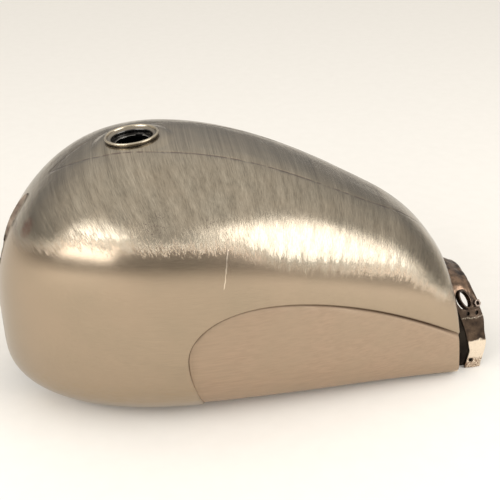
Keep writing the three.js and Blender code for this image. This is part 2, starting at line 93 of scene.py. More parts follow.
HOOD_FRONT, HOOD_REAR, HOOD_HALF, HOOD_TOP, HOOD_WALL = 212.0, 257.0, 57.0, 104.0, 2.5
HOOD_POWER, HOOD_FALL = 3.0, 27.0
HOLE_AT = (229.0, 44.0, 81.5)
HOLE_LONG, HOLE_SHORT = 9.7, 6.0
COLLAR_WALL, COLLAR_LENGTH = 2.0, 6.0
LEG_HOLES = ((233.5, 66.5, 2.2), (244.0, 66.0, 2.2), (240.0, 10.0, 2.6))
BRACKET_FRONT = ((180, -20), (233.5, -20), (233.5, 2), (237.9, 21), (236, 29), (229.8, 50), (223.6, 66),
                 (216, 84), (213, 112), (180, 112))
BRACKET_REAR = ((238.5, 130), (238.5, 95), (242.5, 84.5), (249.6, 68), (252.6, 60), (253.2, 46), (256.5, 31),
                (255.8, 23), (252, 5), (252, -20), (308, -20), (308, 130))
# Inset and outline of the near-black sheet of painted shade inside the bracket's legs.
SHADE_SHEET_INSET = 2.0
SHADE_SHEET_OUTLINE = ((222.6, 2), (250, 2), (250, 71), (216.9, 71))
NUT_AT, NUT_RADIUS, NUT_BORE, NUT_HEIGHT, NUT_CLEAR = (243.0, 75.0), 4.6, 2.2, 4.0, 0.5
GAP = 0.3
UPPER_Z, LEG_TOP_Z = 150.0, 70.0    # filler fields count above the first, leg holes below the second
FAR, BEHIND = 100.0, -12.0          # what a field adds past its own side, and where that side ends


def bezier(values, t):
    rows = [np.full_like(t, float(v)) for v in values]
    while len(rows) > 1:
        rows = [a + (b - a) * t for a, b in zip(rows, rows[1:])]
    return rows[0]


def rounding(fraction, power):
    return (1 - np.clip(fraction, 0, 1) ** power) ** (1 / power)


def section_at(x):
    """Half width, crest height, height of the widest line, and belly height at each x."""
    t = (x - X_FRONT) / (X_REAR - X_FRONT)
    noseward = (X_NOSE - x) / (X_NOSE - X_FRONT)
    tail = 1 - rounding((x - X_TAIL) / (X_REAR - X_TAIL), TAIL_POWER)
    wide = rounding(noseward, NOSE_WIDTH_POWER)
    half = (bezier(HALF_WIDTH, t) - TAIL_PINCH * tail) * wide
    top = TIP_Z + (bezier(CREST, t) - TAIL_DROP * tail - TIP_Z) * rounding(noseward, NOSE_CREST_POWER)
    widest = TIP_Z + (bezier(WIDEST_Z, t) - TIP_Z) * wide
    bottom = TIP_Z + (BELLY_Z - TIP_Z) * rounding(noseward, NOSE_BELLY_POWER)
    return half, top, widest, bottom


def station_x(station):
    quarter = math.pi / 2
    nose = X_NOSE - (X_NOSE - X_FRONT) * np.cos(station * quarter)
    body = X_NOSE + (X_TAIL - X_NOSE) * (station - 1)
    tail = X_TAIL + (X_REAR - X_TAIL) * np.sin((station - 2) * quarter)
    return np.where(station < 1, nose, np.where(station < 2, body, tail))


def form_surface(params):
    station, angle = params[:, 0], params[:, 1]
    x = station_x(np.clip(station, 1e-4, 3))
    half, top, widest, bottom = section_at(x)
    c, s = np.cos(angle), np.sin(angle)
    power = np.where(c >= 0, TOP_POWER, BELLY_POWER)
    reach = np.where(c >= 0, top - widest, bottom - widest)
    y = np.sign(s) * half * np.abs(s) ** (2 / power)
    z = widest + reach * np.abs(c) ** (2 / power)
    aft = np.maximum(0, (x - X_TAIL) / (X_REAR - X_TAIL))
    return np.stack([x - TAIL_LEAN * (z - TAIL_LEAN_Z) * aft ** 2, y, np.maximum(z, 0)], 1)


def upright(p):
    """The x of a point's own cross-section, which leans forward in the tail."""
    x = p[:, 0]
    for _ in range(5):
        aft = np.clip((x - X_TAIL) / (X_REAR - X_TAIL), 0, 1)
        x = p[:, 0] + TAIL_LEAN * (p[:, 2] - TAIL_LEAN_Z) * aft ** 2
    return x


# ---- sheets: polygons over a surface, cut along the zero lines of fields --------------------------
STEP = 2e-3                    # step in a surface's parameters for its normals


def surface_normal(surface, params):
    du, dv = np.array([STEP, 0]), np.array([0, STEP])
    along = surface(params + du) - surface(params - du)
    across = surface(params + dv) - surface(params - dv)
    normal = np.cross(along, across)
    length = np.linalg.norm(normal, axis=1, keepdims=True)
    return normal / np.maximum(length, 1e-12)


class Sheet:
    """A surface's grid of polygons; its normal is (along u) x (along v)."""

    def __init__(self, surface, us, vs):
        self.surface = surface
        uu, vv = np.meshgrid(us, vs, indexing="ij")
        self.params = np.stack([uu.ravel(), vv.ravel()], 1)
        n = len(vs)
        self.faces = [
            (i * n + j, (i + 1) * n + j, (i + 1) * n + j + 1, i * n + j + 1)
            for i in range(len(us) - 1)
            for j in range(n - 1)
        ]

    def copy(self):
        other = object.__new__(Sheet)
        other.surface, other.params, other.faces = self.surface, self.params.copy(), list(self.faces)
        return other

    def split(self, field):
        """Adds an edge wherever the field is zero."""
        value = field(self.surface(self.params))
        value[np.abs(value) < 1e-4] = 0
        flat = value.tolist()
        mixed = []
        clean = []
        for face in self.faces:
            own = [flat[i] for i in face]
            (mixed if min(own) < 0 < max(own) else clean).append(face)
        edges = sorted({
            (min(a, b), max(a, b))
            for face in mixed
            for a, b in zip(face, face[1:] + face[:1])
            if flat[a] * flat[b] < 0
        })
        if not edges:
            return self
        pairs = np.array(edges)
        low, high = self.params[pairs[:, 0]], self.params[pairs[:, 1]]
        sign = np.sign(value[pairs[:, 0]])[:, None]
        near, far = np.zeros((len(pairs), 1)), np.ones((len(pairs), 1))
        for _ in range(18):
            middle = (near + far) / 2
            same = np.sign(field(self.surface(low + (high - low) * middle)))[:, None] == sign
            near, far = np.where(same, middle, near), np.where(same, far, middle)
        made = {edge: len(self.params) + i for i, edge in enumerate(edges)}
        self.params = np.vstack([self.params, low + (high - low) * near])
        for face in mixed:
            above, below = [], []
            for a, b in zip(face, face[1:] + face[:1]):
                if flat[a] >= 0:
                    above.append(a)
                if flat[a] <= 0:
                    below.append(a)
                if flat[a] * flat[b] < 0:
                    cut = made[min(a, b), max(a, b)]
                    above.append(cut)
                    below.append(cut)
            clean += [tuple(part) for part in (above, below) if len(part) > 2]
        self.faces = clean
        return self

    def keep(self, field, side=1):
        """Splits along the field, and drops what lies on its other side."""
        self.split(field)
        flat = (field(self.surface(self.params)) * side).tolist()
        self.faces = [face for face in self.faces if sum(flat[i] for i in face) > 0]
        used = sorted({i for face in self.faces for i in face})
        place = {old: new for new, old in enumerate(used)}
        self.params = self.params[used]
        self.faces = [tuple(place[i] for i in face) for face in self.faces]
        return self


def level(field, value):
    return lambda p: field(p) - value


# ---- fields: distances in millimetres from the tank's feature lines -------------------------------
def leaf_half(x):
    middle, reach = (LEAF_FRONT + LEAF_REAR) / 2, (LEAF_REAR - LEAF_FRONT) / 2
    inside = np.clip(1 - np.abs((x - middle) / reach) ** LEAF_LENGTH_POWER, 0, 1)
    return LEAF_HALF_WIDTH * inside ** (1 / LEAF_WIDTH_POWER)


def leaf_field(p):
    """Distance outside the seam of the top panel."""
    slope = (leaf_half(p[:, 0] + 0.5) - leaf_half(p[:, 0] - 0.5))
    past = np.maximum(np.maximum(LEAF_FRONT - p[:, 0], p[:, 0] - LEAF_REAR), 0)
    return (np.abs(p[:, 1]) - leaf_half(p[:, 0])) / np.hypot(1, slope) + past


def cubic(a, b, c, d, count):
    t = np.linspace(0, 1, count, endpoint=False)[:, None]
    a, b, c, d = (np.array(v, float) for v in (a, b, c, d))
    return a * (1 - t) ** 3 + 3 * b * t * (1 - t) ** 2 + 3 * c * t * t * (1 - t) + d * t ** 3


KNEE_OUTLINE = np.vstack([
    cubic((-57, -9), (-66, 28), (KNEE_FRONT, 64), (KNEE_FRONT, 92), 30),
    cubic((KNEE_FRONT, 92), (KNEE_FRONT, 124), (-48, KNEE_TOP), (-7, KNEE_TOP), 50),
    cubic((-7, KNEE_TOP), (62, KNEE_TOP), (164, 97), (237, 44), 70),
    [(237, 44), (300, 44), (300, -60), (-57, -60)],
])


def polygon_field(points, outline):
    """Signed distance outside a closed outline; points and outline are in one plane."""
    start, end = outline, np.roll(outline, -1, axis=0)
    run = end - start
    best = np.full(len(points), 1e9)
    inside = np.zeros(len(points), bool)
    for (ax, ay), (bx, by), (rx, ry) in zip(start, end, run):
        px, py = points[:, 0] - ax, points[:, 1] - ay
        t = np.clip((px * rx + py * ry) / max(rx * rx + ry * ry, 1e-12), 0, 1)
        best = np.minimum(best, np.hypot(px - t * rx, py - t * ry))
        crosses = (ay > points[:, 1]) != (by > points[:, 1])
        if by != ay:
            inside ^= crosses & (points[:, 0] < (bx - ax) * (points[:, 1] - ay) / (by - ay) + ax)
    return np.where(inside, -best, best)


def knee_field(p):
    return polygon_field(p[:, [0, 2]], KNEE_OUTLINE)


def floor_field(p):
    return p[:, 2] - FLOOR_SPLIT


def notch_field(p):
    """Distance behind the steering-head notch."""
    steep = np.hypot(1, 2 * p[:, 1] / NOTCH_FOCUS)
    return (p[:, 0] - NOTCH_X + p[:, 1] ** 2 / NOTCH_FOCUS) / steep


def tunnel_top(x):
    return TUNNEL_FRONT_TOP + (TUNNEL_REAR_TOP - TUNNEL_FRONT_TOP) * (x - X_FRONT) / (X_REAR - X_FRONT)


def tunnel_field(p):
    """Distance outside the tunnel's inner face."""
    spring = tunnel_top(p[:, 0]) - TUNNEL_HALF
    return np.where(p[:, 2] < spring, np.abs(p[:, 1]), np.hypot(p[:, 1], p[:, 2] - spring)) - TUNNEL_HALF


FILLER_TOP = float(section_at(np.array([FILLER_X]))[1][0])
_crest = section_at(np.array([FILLER_X - 1, FILLER_X + 1]))[1]
FILLER_TILT = math.atan((_crest[1] - _crest[0]) / 2)
FILLER_AXIS = np.array([-math.sin(FILLER_TILT), 0, math.cos(FILLER_TILT)])
FILLER_ORIGIN = np.array([FILLER_X, 0, FILLER_TOP])


def filler_coordinates(p):
    """Distance from the filler's axis, and height above its origin along it."""
    off = p - FILLER_ORIGIN
    height = off @ FILLER_AXIS
    return np.linalg.norm(off - height[:, None] * FILLER_AXIS, axis=1), height


def filler_field(p):
    return filler_coordinates(p)[0] + np.where(p[:, 2] < UPPER_Z, 5 * FAR, 0)


# ---- depth of the real surface below the form ------------------------------------------------------
def smooth(t):
    t = np.clip(t, 0, 1)
    return t * t * (3 - 2 * t)


def roll(distance, radius):
    """How far a rounded edge of that radius has fallen, at a distance from its end."""
    left = radius - np.clip(distance, 0, radius)
    return radius - np.sqrt(np.maximum(radius ** 2 - left ** 2, 0))


def knee_groove(p):
    return KNEE_CUT * smooth(1 - np.abs(knee_field(p) + 1.5) / 4) * smooth(p[:, 2] / 60)


def knee_depth(p):
    """Depth of the knee panel below the form, with a groove pressed along its upper edge."""
    rearward = np.clip((p[:, 0] - KNEE_FADE_X) / (X_REAR - KNEE_FADE_X), 0, 1)
    height = np.clip(p[:, 2] / KNEE_TOP, 0, 1)
    return KNEE_SHALLOW + KNEE_EXTRA * (1 - rearward ** 2) * height + knee_groove(p)


SEAM_GROOVE, SEAM_HALF = 0.35, 0.9
REAR_ROLL = 2.2


def waves(p, length, seed):
    """Smooth irregular values between about -1 and 1 over space."""
    rng = np.random.RandomState(seed)
    total = np.zeros(len(p))
    for _ in range(7):
        way = rng.normal(size=3)
        way /= np.linalg.norm(way)
        total += np.sin(p @ way * (2 * math.pi / (length * rng.uniform(0.7, 1.5))) + rng.uniform(0, 6.28))
    return total / 4


FLANGE_WIDE, FLANGE_NARROW, FLANGE_TILT = 9.0, 2.6, -0.10


def flange_field(p):
    """Distance in front of the crease where the rear flange begins; the flange narrows towards the belly."""
    height = smooth((p[:, 2] - 30) / 75)
    return X_REAR - upright(p) - FLANGE_NARROW - (FLANGE_WIDE - FLANGE_NARROW) * height


def skin_depth(p):
    """Depth of the shells and the top panel: the seam, the ground metal beside it, and the rolled edges."""
    seam = leaf_field(p)
    groove = np.clip(1 - np.abs(seam) / SEAM_HALF, 0, 1) * (0.75 + 0.5 * waves(p, 9, 3))
    ground = smooth(1 - (np.abs(seam) - 8) / 50)
    radius, height = filler_coordinates(p)
    seat = smooth((SEAT_EDGE - radius) / (SEAT_EDGE - SEAT_FLAT)) * (p[:, 2] > UPPER_Z)
    lifted = (SEAT_RISE - height) * seat
    rear = roll(X_REAR - upright(p), REAR_ROLL)
    flange = -FLANGE_TILT * np.maximum(-flange_field(p), 0)
    hand_made = 0.12 * ground * waves(p, 24, 5) * (1 - seat)
    return SEAM_GROOVE * groove * (1 - seat) + hand_made - lifted + rear + flange


def side_depth(p):
    return skin_depth(p) + roll(knee_field(p), KNEE_ROLL)


# ---- meshes ---------------------------------------------------------------------------------------
def link_mesh(name, points, faces, material, replaces=(), smooth_angle=None, normals=None):
    """One object in metres; points are in millimetres."""
    mesh = bpy.data.meshes.new(name)
    mesh.from_pydata(((np.asarray(points) + (CENTRING, 0, 0)) * MM).tolist(), [], faces)
    mesh.validate(clean_customdata=False)
    mesh.materials.append(material)
    mesh.polygons.foreach_set("use_smooth", [True] * len(mesh.polygons))
    if smooth_angle is not None:
        mesh.set_sharp_from_angle(angle=math.radians(smooth_angle))
    if normals is not None:
        mesh.normals_split_custom_set(normals)
    obj = bpy.data.objects.new(name, mesh)
    bpy.context.scene.collection.objects.link(obj)
    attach(obj, "root")
    if replaces:
        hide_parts(*replaces)
    return obj


def outer_normals(sheet, depth):
    def displaced(params):
        p = sheet.surface(params)
        return p - surface_normal(sheet.surface, params) * depth(p)[:, None]
    return surface_normal(displaced, sheet.params)


def mirrored(points):
    return points * np.array([1, -1, 1])


def sheet_parts(sheet, depth, thickness, extra=None):
    """Outer and inner points of a sheet of metal, and its shading normals."""
    p = sheet.surface(sheet.params)
    n = surface_normal(sheet.surface, sheet.params)
    sunk = depth(p)
    deeper = sunk + thickness + (extra(p) if extra else 0)
    return p - n * sunk[:, None], p - n * deeper[:, None], outer_normals(sheet, depth), p


def metal_sheet(name, sheet, depth, thickness, material, replaces, side=-1, both=False, extra=None,
                fields=()):
    """A closed sheet of metal. side is -1 for the left as built, 1 for its mirror image."""
    outer, inner, shade, base = sheet_parts(sheet, depth, thickness, extra)
    faces = [tuple(face) for face in sheet.faces]
    count = len(outer)
    if side > 0:
        outer, inner, shade, base = (mirrored(v) for v in (outer, inner, shade, base))
        faces = [face[::-1] for face in faces]
    if both:
        outer, inner, shade, base = (np.vstack([v, mirrored(v)]) for v in (outer, inner, shade, base))
        faces = faces + [tuple(i + count for i in face[::-1]) for face in faces]
        key = np.round(base, 3)
        key[:, 1] += 0.0
        _, first, back = np.unique(key, axis=0, return_index=True, return_inverse=True)
        back = back.ravel()
        outer, inner, shade, base = outer[first], inner[first], shade[first], base[first]
        centre = np.abs(base[:, 1]) < 1e-3
        for v in (outer, inner, shade):
            v[centre, 1] = 0
        shade /= np.linalg.norm(shade, axis=1, keepdims=True)
        faces = [tuple(int(back[i]) for i in face) for face in faces]
        faces = [tuple(i for i, before in zip(face, face[-1:] + face) if i != before) for face in faces]
        faces = [face for face in faces if len(set(face)) == len(face) > 2]
        count = len(outer)
    directed = {(a, b) for face in faces for a, b in zip(face, face[1:] + face[:1])}
    rim = [(a, b) for a, b in directed if (b, a) not in directed]
    rim.sort()
    solid = faces + [tuple(i + count for i in face[::-1]) for face in faces]
    solid += [(b, a, a + count, b + count) for a, b in rim]
    points = np.vstack([outer, inner])
    loop_normals = []
    for number, face in enumerate(solid):
        if number < len(faces):
            loop_normals += [shade[i] for i in face]
        elif number < 2 * len(faces):
            loop_normals += [-shade[i - count] for i in face]
        else:
            a, b, c = (points[i] for i in face[:3])
            n = np.cross(b - a, c - a)
            n = n / max(np.linalg.norm(n), 1e-12)
            loop_normals += [n] * 4
    obj = link_mesh(name, points, solid, material, replaces, normals=np.array(loop_normals).tolist())
    for label, field in fields:
        attribute = obj.data.attributes.new(label, "FLOAT", "POINT")
        values = field(base)
        attribute.data.foreach_set("value", np.concatenate([values, values]).astype(np.float32))
    return obj


def unit(v):
    v = np.asarray(v, float)
    return v / np.linalg.norm(v)


def softened(profile, radius, steps=4):
    """A closed outline with its corners rounded off."""
    points = np.asarray(profile, float)
    made = []
    for before, here, after in zip(np.roll(points, 1, axis=0), points, np.roll(points, -1, axis=0)):
        back, on = before - here, after - here
        start = here + back * min(0.45, radius / max(np.linalg.norm(back), 1e-9))
        end = here + on * min(0.45, radius / max(np.linalg.norm(on), 1e-9))
        for t in np.linspace(0, 1, steps):
            made.append(start * (1 - t) ** 2 + 2 * here * t * (1 - t) + end * t * t)
    return np.array(made)


def ring(name, profile, centre, axis, slot, material, replaces=(), sides=96, long=0.0, short=0.0,
         towards=(1, 0, 0), shift=None, smooth_angle=50):
    """A closed profile of (distance, height) swept around an axis, or around an oval of long and short radii.
    shift(angle, distance) can move the profile's points out or in at each angle."""
    axis = unit(axis)
    u = unit(np.asarray(towards, float) - np.dot(towards, axis) * axis)
    v = np.cross(axis, u)
    angle = np.linspace(0, 2 * math.pi, sides, endpoint=False)
    distance, height = profile[:, 0], profile[:, 1]
    radius = distance[None, :] + np.zeros((sides, 1))
    if shift is not None:
        radius = shift(angle[:, None], radius)
    c, w = np.cos(angle)[:, None], np.sin(angle)[:, None]
    points = (np.asarray(centre, float) + ((long + radius) * c)[..., None] * u
              + ((short + radius) * w)[..., None] * v + (height[None, :] + 0 * radius)[..., None] * axis)
    count = len(profile)
    faces = []
    for i in range(sides):
        following = (i + 1) % sides
        for j in range(count):
            turn = (j + 1) % count
            faces.append((i * count + j, following * count + j, following * count + turn, i * count + turn))
    obj = link_mesh(name, points.reshape(-1, 3), faces, material, replaces)
    mesh = bmesh.new()
    mesh.from_mesh(obj.data)
    bmesh.ops.recalc_face_normals(mesh, faces=mesh.faces)
    mesh.to_mesh(obj.data)
    mesh.free()
    obj.data.set_sharp_from_angle(angle=math.radians(smooth_angle))
    return obj


def bead(name, path, radius, material, seed, pitch=2.6, around=10):
    """A weld bead along a path: overlapping ripples of uneven size."""
    path = np.asarray(path, float)
    length = np.concatenate([[0], np.cumsum(np.linalg.norm(np.diff(path, axis=0), axis=1))])
    steps = max(12, int(length[-1] / pitch * 6))
    at = np.linspace(0, length[-1], steps)
    centre = np.stack([np.interp(at, length, path[:, k]) for k in range(3)], 1)
    along = np.gradient(centre, axis=0)
    along /= np.linalg.norm(along, axis=1, keepdims=True)
    rng = np.random.RandomState(seed)
    wobble = np.interp(at, np.arange(0, length[-1] + pitch, pitch),
                       rng.uniform(-1, 1, len(np.arange(0, length[-1] + pitch, pitch))))
    size = radius * (0.86 + 0.14 * np.abs(np.sin(math.pi * at / pitch)) + 0.16 * wobble)
    ends = np.clip(np.minimum(at, length[-1] - at) / radius, 0.02, 1)
    size *= np.sqrt(1 - (1 - ends) ** 2)
    side = np.cross(along, [0.0, 0.0, 1.0] if abs(along[:, 2]).mean() < 0.9 else [1.0, 0.0, 0.0])
    side /= np.linalg.norm(side, axis=1, keepdims=True)
    up = np.cross(side, along)
    angle = np.linspace(0, 2 * math.pi, around, endpoint=False)
    points = (centre[:, None, :] + size[:, None, None] * (np.cos(angle)[None, :, None] * side[:, None, :]
              + 0.7 * np.sin(angle)[None, :, None] * up[:, None, :]))
    faces = [
        ((i + 1) * around + j, (i + 1) * around + (j + 1) % around,
         i * around + (j + 1) % around, i * around + j)
        for i in range(steps - 1)
        for j in range(around)
    ]
    faces += [tuple(range(around)), tuple((steps - 1) * around + j for j in range(around))[::-1]]
    return link_mesh(name, points.reshape(-1, 3), faces, material)


# ---- materials --------------------------------------------------------------------------------------
def new_material(name, roughness, anisotropy=0.0):
    """A metal to be finished by its own function; returns the material, a node maker and its shader."""
    material = bpy.data.materials.new(name)
    material.use_nodes = True
    tree = material.node_tree
    shader = tree.nodes["Principled BSDF"]
    shader.inputs["Metallic"].default_value = 1.0
    shader.inputs["Roughness"].default_value = roughness
    shader.inputs["Anisotropic"].default_value = anisotropy
    return material, Nodes(tree), shader


class Nodes:
    """Short forms for the shader nodes that the materials use."""

    def __init__(self, tree):
        self.tree = tree

    def make(self, kind, links=(), **settings):
        node = self.tree.nodes.new(kind)
        for key, value in settings.items():
            setattr(node, key, value)
        for key, value in dict(links).items():
            socket = node.inputs[key]
            if isinstance(value, bpy.types.NodeSocket):
                self.tree.links.new(value, socket)
            else:
                socket.default_value = value
        return node

    def join(self, value, socket):
        self.tree.links.new(value, socket)

    def math(self, operation, a, b=0.0, clamp=False):
        return self.make("ShaderNodeMath", {0: a, 1: b}, operation=operation, use_clamp=clamp).outputs[0]

    def position(self):
        """The form's own coordinates in millimetres."""
        coordinates = self.make("ShaderNodeTexCoord").outputs["Object"]
        scaled = self.make("ShaderNodeVectorMath", {0: coordinates, 3: 1 / MM}, operation="SCALE").outputs[0]
        shifted = self.make("ShaderNodeVectorMath", {0: scaled, 1: (CENTRING, 0, 0)}, operation="SUBTRACT")
        return shifted.outputs[0]

    def stretched(self, position, scale, turn=(0, 0, 0)):
        mapping = self.make("ShaderNodeMapping", {"Vector": position, "Scale": scale, "Rotation": turn})
        return mapping.outputs[0]

    def noise(self, position, scale=1.0, detail=2.0, roughness=0.5, distortion=0.0):
        return self.make("ShaderNodeTexNoise", {
            "Vector": position, "Scale": scale, "Detail": detail, "Roughness": roughness,
            "Distortion": distortion,
        }).outputs["Fac"]

    def remap(self, value, low, high, to_low=0.0, to_high=1.0, smooth_step=False):
        return self.make("ShaderNodeMapRange", {
            "Value": value, "From Min": low, "From Max": high, "To Min": to_low, "To Max": to_high,
        }, interpolation_type="SMOOTHSTEP" if smooth_step else "LINEAR").outputs[0]

    def mix(self, factor, a, b):
        node = self.make("ShaderNodeMix", data_type="RGBA")
        for socket, value in ((node.inputs[0], factor), (node.inputs[6], a), (node.inputs[7], b)):
            if isinstance(value, bpy.types.NodeSocket):
                self.join(value, socket)
            else:
                socket.default_value = value
        return node.outputs[2]

    def attribute(self, name):
        return self.make("ShaderNodeAttribute", attribute_name=name, attribute_type="GEOMETRY").outputs["Fac"]

    def bump(self, height, distance, strength=1.0, normal=None):
        links = {"Height": height, "Distance": distance, "Strength": strength}
        if normal is not None:
            links["Normal"] = normal
        return self.make("ShaderNodeBump", links).outputs[0]


def colour(r, g, b):
    return (r, g, b, 1.0)


SATIN = colour(0.40, 0.32, 0.23)
SATIN_DARK = colour(0.34, 0.27, 0.195)
GROUND = colour(0.44, 0.385, 0.30)
GROUND_DARK = colour(0.17, 0.145, 0.11)
MATTE = colour(0.46, 0.345, 0.25)
MATTE_DARK = colour(0.38, 0.285, 0.205)
# Near-black brown: painted shadow along the turned-in edge above each knee panel.
OVERHANG_SHADOW = colour(0.07, 0.042, 0.026)
RUST = colour(0.22, 0.05, 0.02)
RAW = colour(0.33, 0.27, 0.22)
RAW_DARK = colour(0.16, 0.12, 0.10)
SCALE = colour(0.115, 0.08, 0.056)
SCALE_DARK = colour(0.045, 0.032, 0.025)
SCALE_BROWN = colour(0.26, 0.17, 0.115)
# Pale steel: a real scratch on the side, and a painted highlight on the lower part of the bracket's legs.
SCRATCH_AND_HIGHLIGHT = colour(0.86, 0.74, 0.60)
SCUFFED = colour(0.36, 0.27, 0.16)
RIM = colour(0.60, 0.52, 0.40)
RIM_DARK = colour(0.22, 0.19, 0.15)
BAYONET = colour(0.42, 0.40, 0.37)
# Near-black: painted shade down the filler's bore, and the dark stains on the bayonet ring.
BORE_SHADE_AND_STAIN = colour(0.10, 0.095, 0.09)
INNER = colour(0.10, 0.085, 0.07)
INNER_DARK = colour(0.03, 0.025, 0.02)
# Almost black: painted shade inside the bracket's legs.
SHADE_SHEET_DARK = colour(0.012, 0.009, 0.008)

STROKE_SLANT = -0.0035         # how much more the grinding strokes lean with each millimetre along the tank


def ground_metal(n, position):
    """Colour, roughness and height of ground steel, with short strokes across the seam and broad patches, and
    a ragged offset for its edge.
    """
    along = n.attribute("along")
    across = n.attribute("across")
    lean = n.math("MULTIPLY", n.math("MULTIPLY", along, STROKE_SLANT), across)
    slid = n.math("ADD", along, lean)

    def strokes(along_scale, across_scale, detail, roughness):
        at = n.make("ShaderNodeCombineXYZ", {
            0: n.math("MULTIPLY", slid, along_scale), 1: n.math("MULTIPLY", across, across_scale),
        })
        return n.noise(at.outputs[0], 1.0, detail, roughness)

    fine = strokes(1.1, 0.20, 5.0, 0.72)
    broad = strokes(0.14, 0.04, 3.0, 0.6)
    patches = n.noise(position, 0.03, 3.0, 0.6)
    tone = n.math("ADD", n.math("MULTIPLY", fine, 0.6), n.math("MULTIPLY", broad, 0.4))
    shade = n.mix(n.remap(tone, 0.36, 0.64), GROUND_DARK, GROUND)
    shade = n.mix(n.remap(patches, 0.35, 0.75, 0, 0.35), shade, SATIN)
    roughness = n.remap(tone, 0.3, 0.7, 0.24, 0.17)
    ragged = n.math("ADD", n.math("MULTIPLY", n.math("SUBTRACT", fine, 0.5), 44.0),
                    n.math("MULTIPLY", n.math("SUBTRACT", broad, 0.5), 20.0))
    return shade, roughness, tone, ragged


PITTED = (((-107, -123, 232), 15), ((-57, -120, 227), 9))      # places with small pits, and their reach
RUSTED = ((-229, -59, 207), 13)
SCRATCH_TOP, SCRATCH_LOW, SCRATCH_X, SCRATCH_LEAN = 206, 168, -41, 0.14


def around_point(n, position, centre, reach):
    away = n.make("ShaderNodeVectorMath", {0: position, 1: tuple(centre)}, operation="DISTANCE").outputs[1]
    return n.remap(away, reach * 0.5, reach, 1, 0, True)


def scratch(n, position):
    """A thin bright line down the left side."""
    x, y, z = n.make("ShaderNodeSeparateXYZ", {0: position}).outputs
    foot_x = SCRATCH_X - SCRATCH_LEAN * (SCRATCH_TOP - SCRATCH_LOW)
    line = n.math("SUBTRACT", x, n.remap(z, SCRATCH_LOW, SCRATCH_TOP, foot_x, SCRATCH_X))
    wander = n.math("MULTIPLY", n.math("SUBTRACT", n.noise(position, 0.2, 2.0, 0.5), 0.5), 3.0)
    near = n.remap(n.math("ABSOLUTE", n.math("ADD", line, wander)), 0.2, 0.6, 0.8, 0, True)
    above = n.remap(z, SCRATCH_LOW, SCRATCH_LOW + 2)
    below = n.remap(z, SCRATCH_TOP - 2, SCRATCH_TOP, 1, 0)
    between = n.math("MULTIPLY", above, below)
    return n.math("MULTIPLY", n.math("MULTIPLY", near, between), n.remap(y, -90, -100))


def skin_material(name, top):
    """Satin pressed steel below a ragged edge, ground steel above it; the top panel is ground all over."""
    material, n, shader = new_material(name, 0.3)
    position = n.position()
    shade, rough, tone, ragged = ground_metal(n, position)
    grain = n.noise(n.stretched(position, (0.06, 0.5, 1.6)), 1.0, 4.0, 0.65)
    clouds = n.noise(position, 0.02, 2.0, 0.5)
    satin = n.mix(n.remap(grain, 0.35, 0.7), SATIN_DARK, SATIN)
    satin = n.mix(n.remap(clouds, 0.3, 0.7, 0, 0.3), satin, MATTE)
    satin_rough = n.remap(grain, 0.3, 0.7, 0.20, 0.26)
    if top:
        mask = 1.0
    else:
        mask = n.remap(n.math("ADD", n.attribute("band"), ragged), -5, 5)
    base = n.mix(mask, satin, shade)
    seam = n.attribute("seam")
    dark = n.remap(n.math("ABSOLUTE", seam), 0.5, 1.6, 0.9, 0.0, True)
    gaps = n.remap(n.noise(position, 0.14, 3.0, 0.6), 0.38, 0.55)
    base = n.mix(n.math("MULTIPLY", dark, gaps), base, RAW_DARK)
    specks = n.noise(position, 0.75, 2.0, 0.5)
    pitted = n.remap(specks, 0.60, 0.66)
    for centre, reach in PITTED:
        base = n.mix(n.math("MULTIPLY", pitted, around_point(n, position, centre, reach)), base, RAW_DARK)
    rusted = n.math("MULTIPLY", n.remap(specks, 0.46, 0.56, 0, 0.8), around_point(n, position, *RUSTED))
    base = n.mix(rusted, base, RUST)
    if not top:
        # Painted shade: the turned-in edge above each knee panel is darkened near its end, more so higher up
        # the side.
        high = n.remap(n.make("ShaderNodeSeparateXYZ", {0: position}).outputs[2], 60, 100)
        turned = n.math("MULTIPLY", n.remap(n.attribute("edge"), 0.3, 2.2, 0.8, 0, True), high)
        base = n.mix(turned, base, OVERHANG_SHADOW)
        base = n.mix(scratch(n, position), base, SCRATCH_AND_HIGHLIGHT)
        streaks = n.noise(n.stretched(position, (0.035, 0.2, 0.9)), 1.0, 4.0, 0.65)
        low = n.remap(n.make("ShaderNodeSeparateXYZ", {0: position}).outputs[2], 42, 72, 0.7, 0, True)
        base = n.mix(n.math("MULTIPLY", n.remap(streaks, 0.50, 0.60), low), base, SCUFFED)
    n.join(base, shader.inputs["Base Color"])
    if top:
        n.join(rough, shader.inputs["Roughness"])
    else:
        mixed = n.make("ShaderNodeMix", {0: mask, 2: satin_rough, 3: rough}, data_type="FLOAT").outputs[0]
        n.join(mixed, shader.inputs["Roughness"])
    fine = n.noise(position, 1.5, 2.0, 0.5)
    height = n.math("ADD", n.math("MULTIPLY", tone, mask), n.math("MULTIPLY", fine, 0.04))
    n.join(n.bump(height, 0.22 * MM), shader.inputs["Normal"])
    return material


def knee_material():
    material, n, shader = new_material("knee_matte", 0.55)
    position = n.position()
    streaks = n.noise(n.stretched(position, (0.03, 0.4, 0.5), (0, 0.12, 0)), 1.0, 4.0, 0.6)
    clouds = n.noise(position, 0.025, 3.0, 0.55)
    base = n.mix(n.remap(streaks, 0.35, 0.65), MATTE_DARK, MATTE)
    base = n.mix(n.remap(clouds, 0.35, 0.7, 0, 0.4), base, SATIN)
    # Painted shadow along the upper edge of the knee panel, where the turned-in edge overhangs it.
    under = n.math("MULTIPLY", n.remap(n.attribute("edge"), -4.0, -0.6, 0, 1, True), n.attribute("lid"))
    base = n.mix(under, base, OVERHANG_SHADOW)
    n.join(base, shader.inputs["Base Color"])
    n.join(n.remap(streaks, 0.3, 0.7, 0.5, 0.62), shader.inputs["Roughness"])
    n.join(n.bump(n.noise(position, 1.2, 3.0, 0.6), 0.05 * MM), shader.inputs["Normal"])
    return material


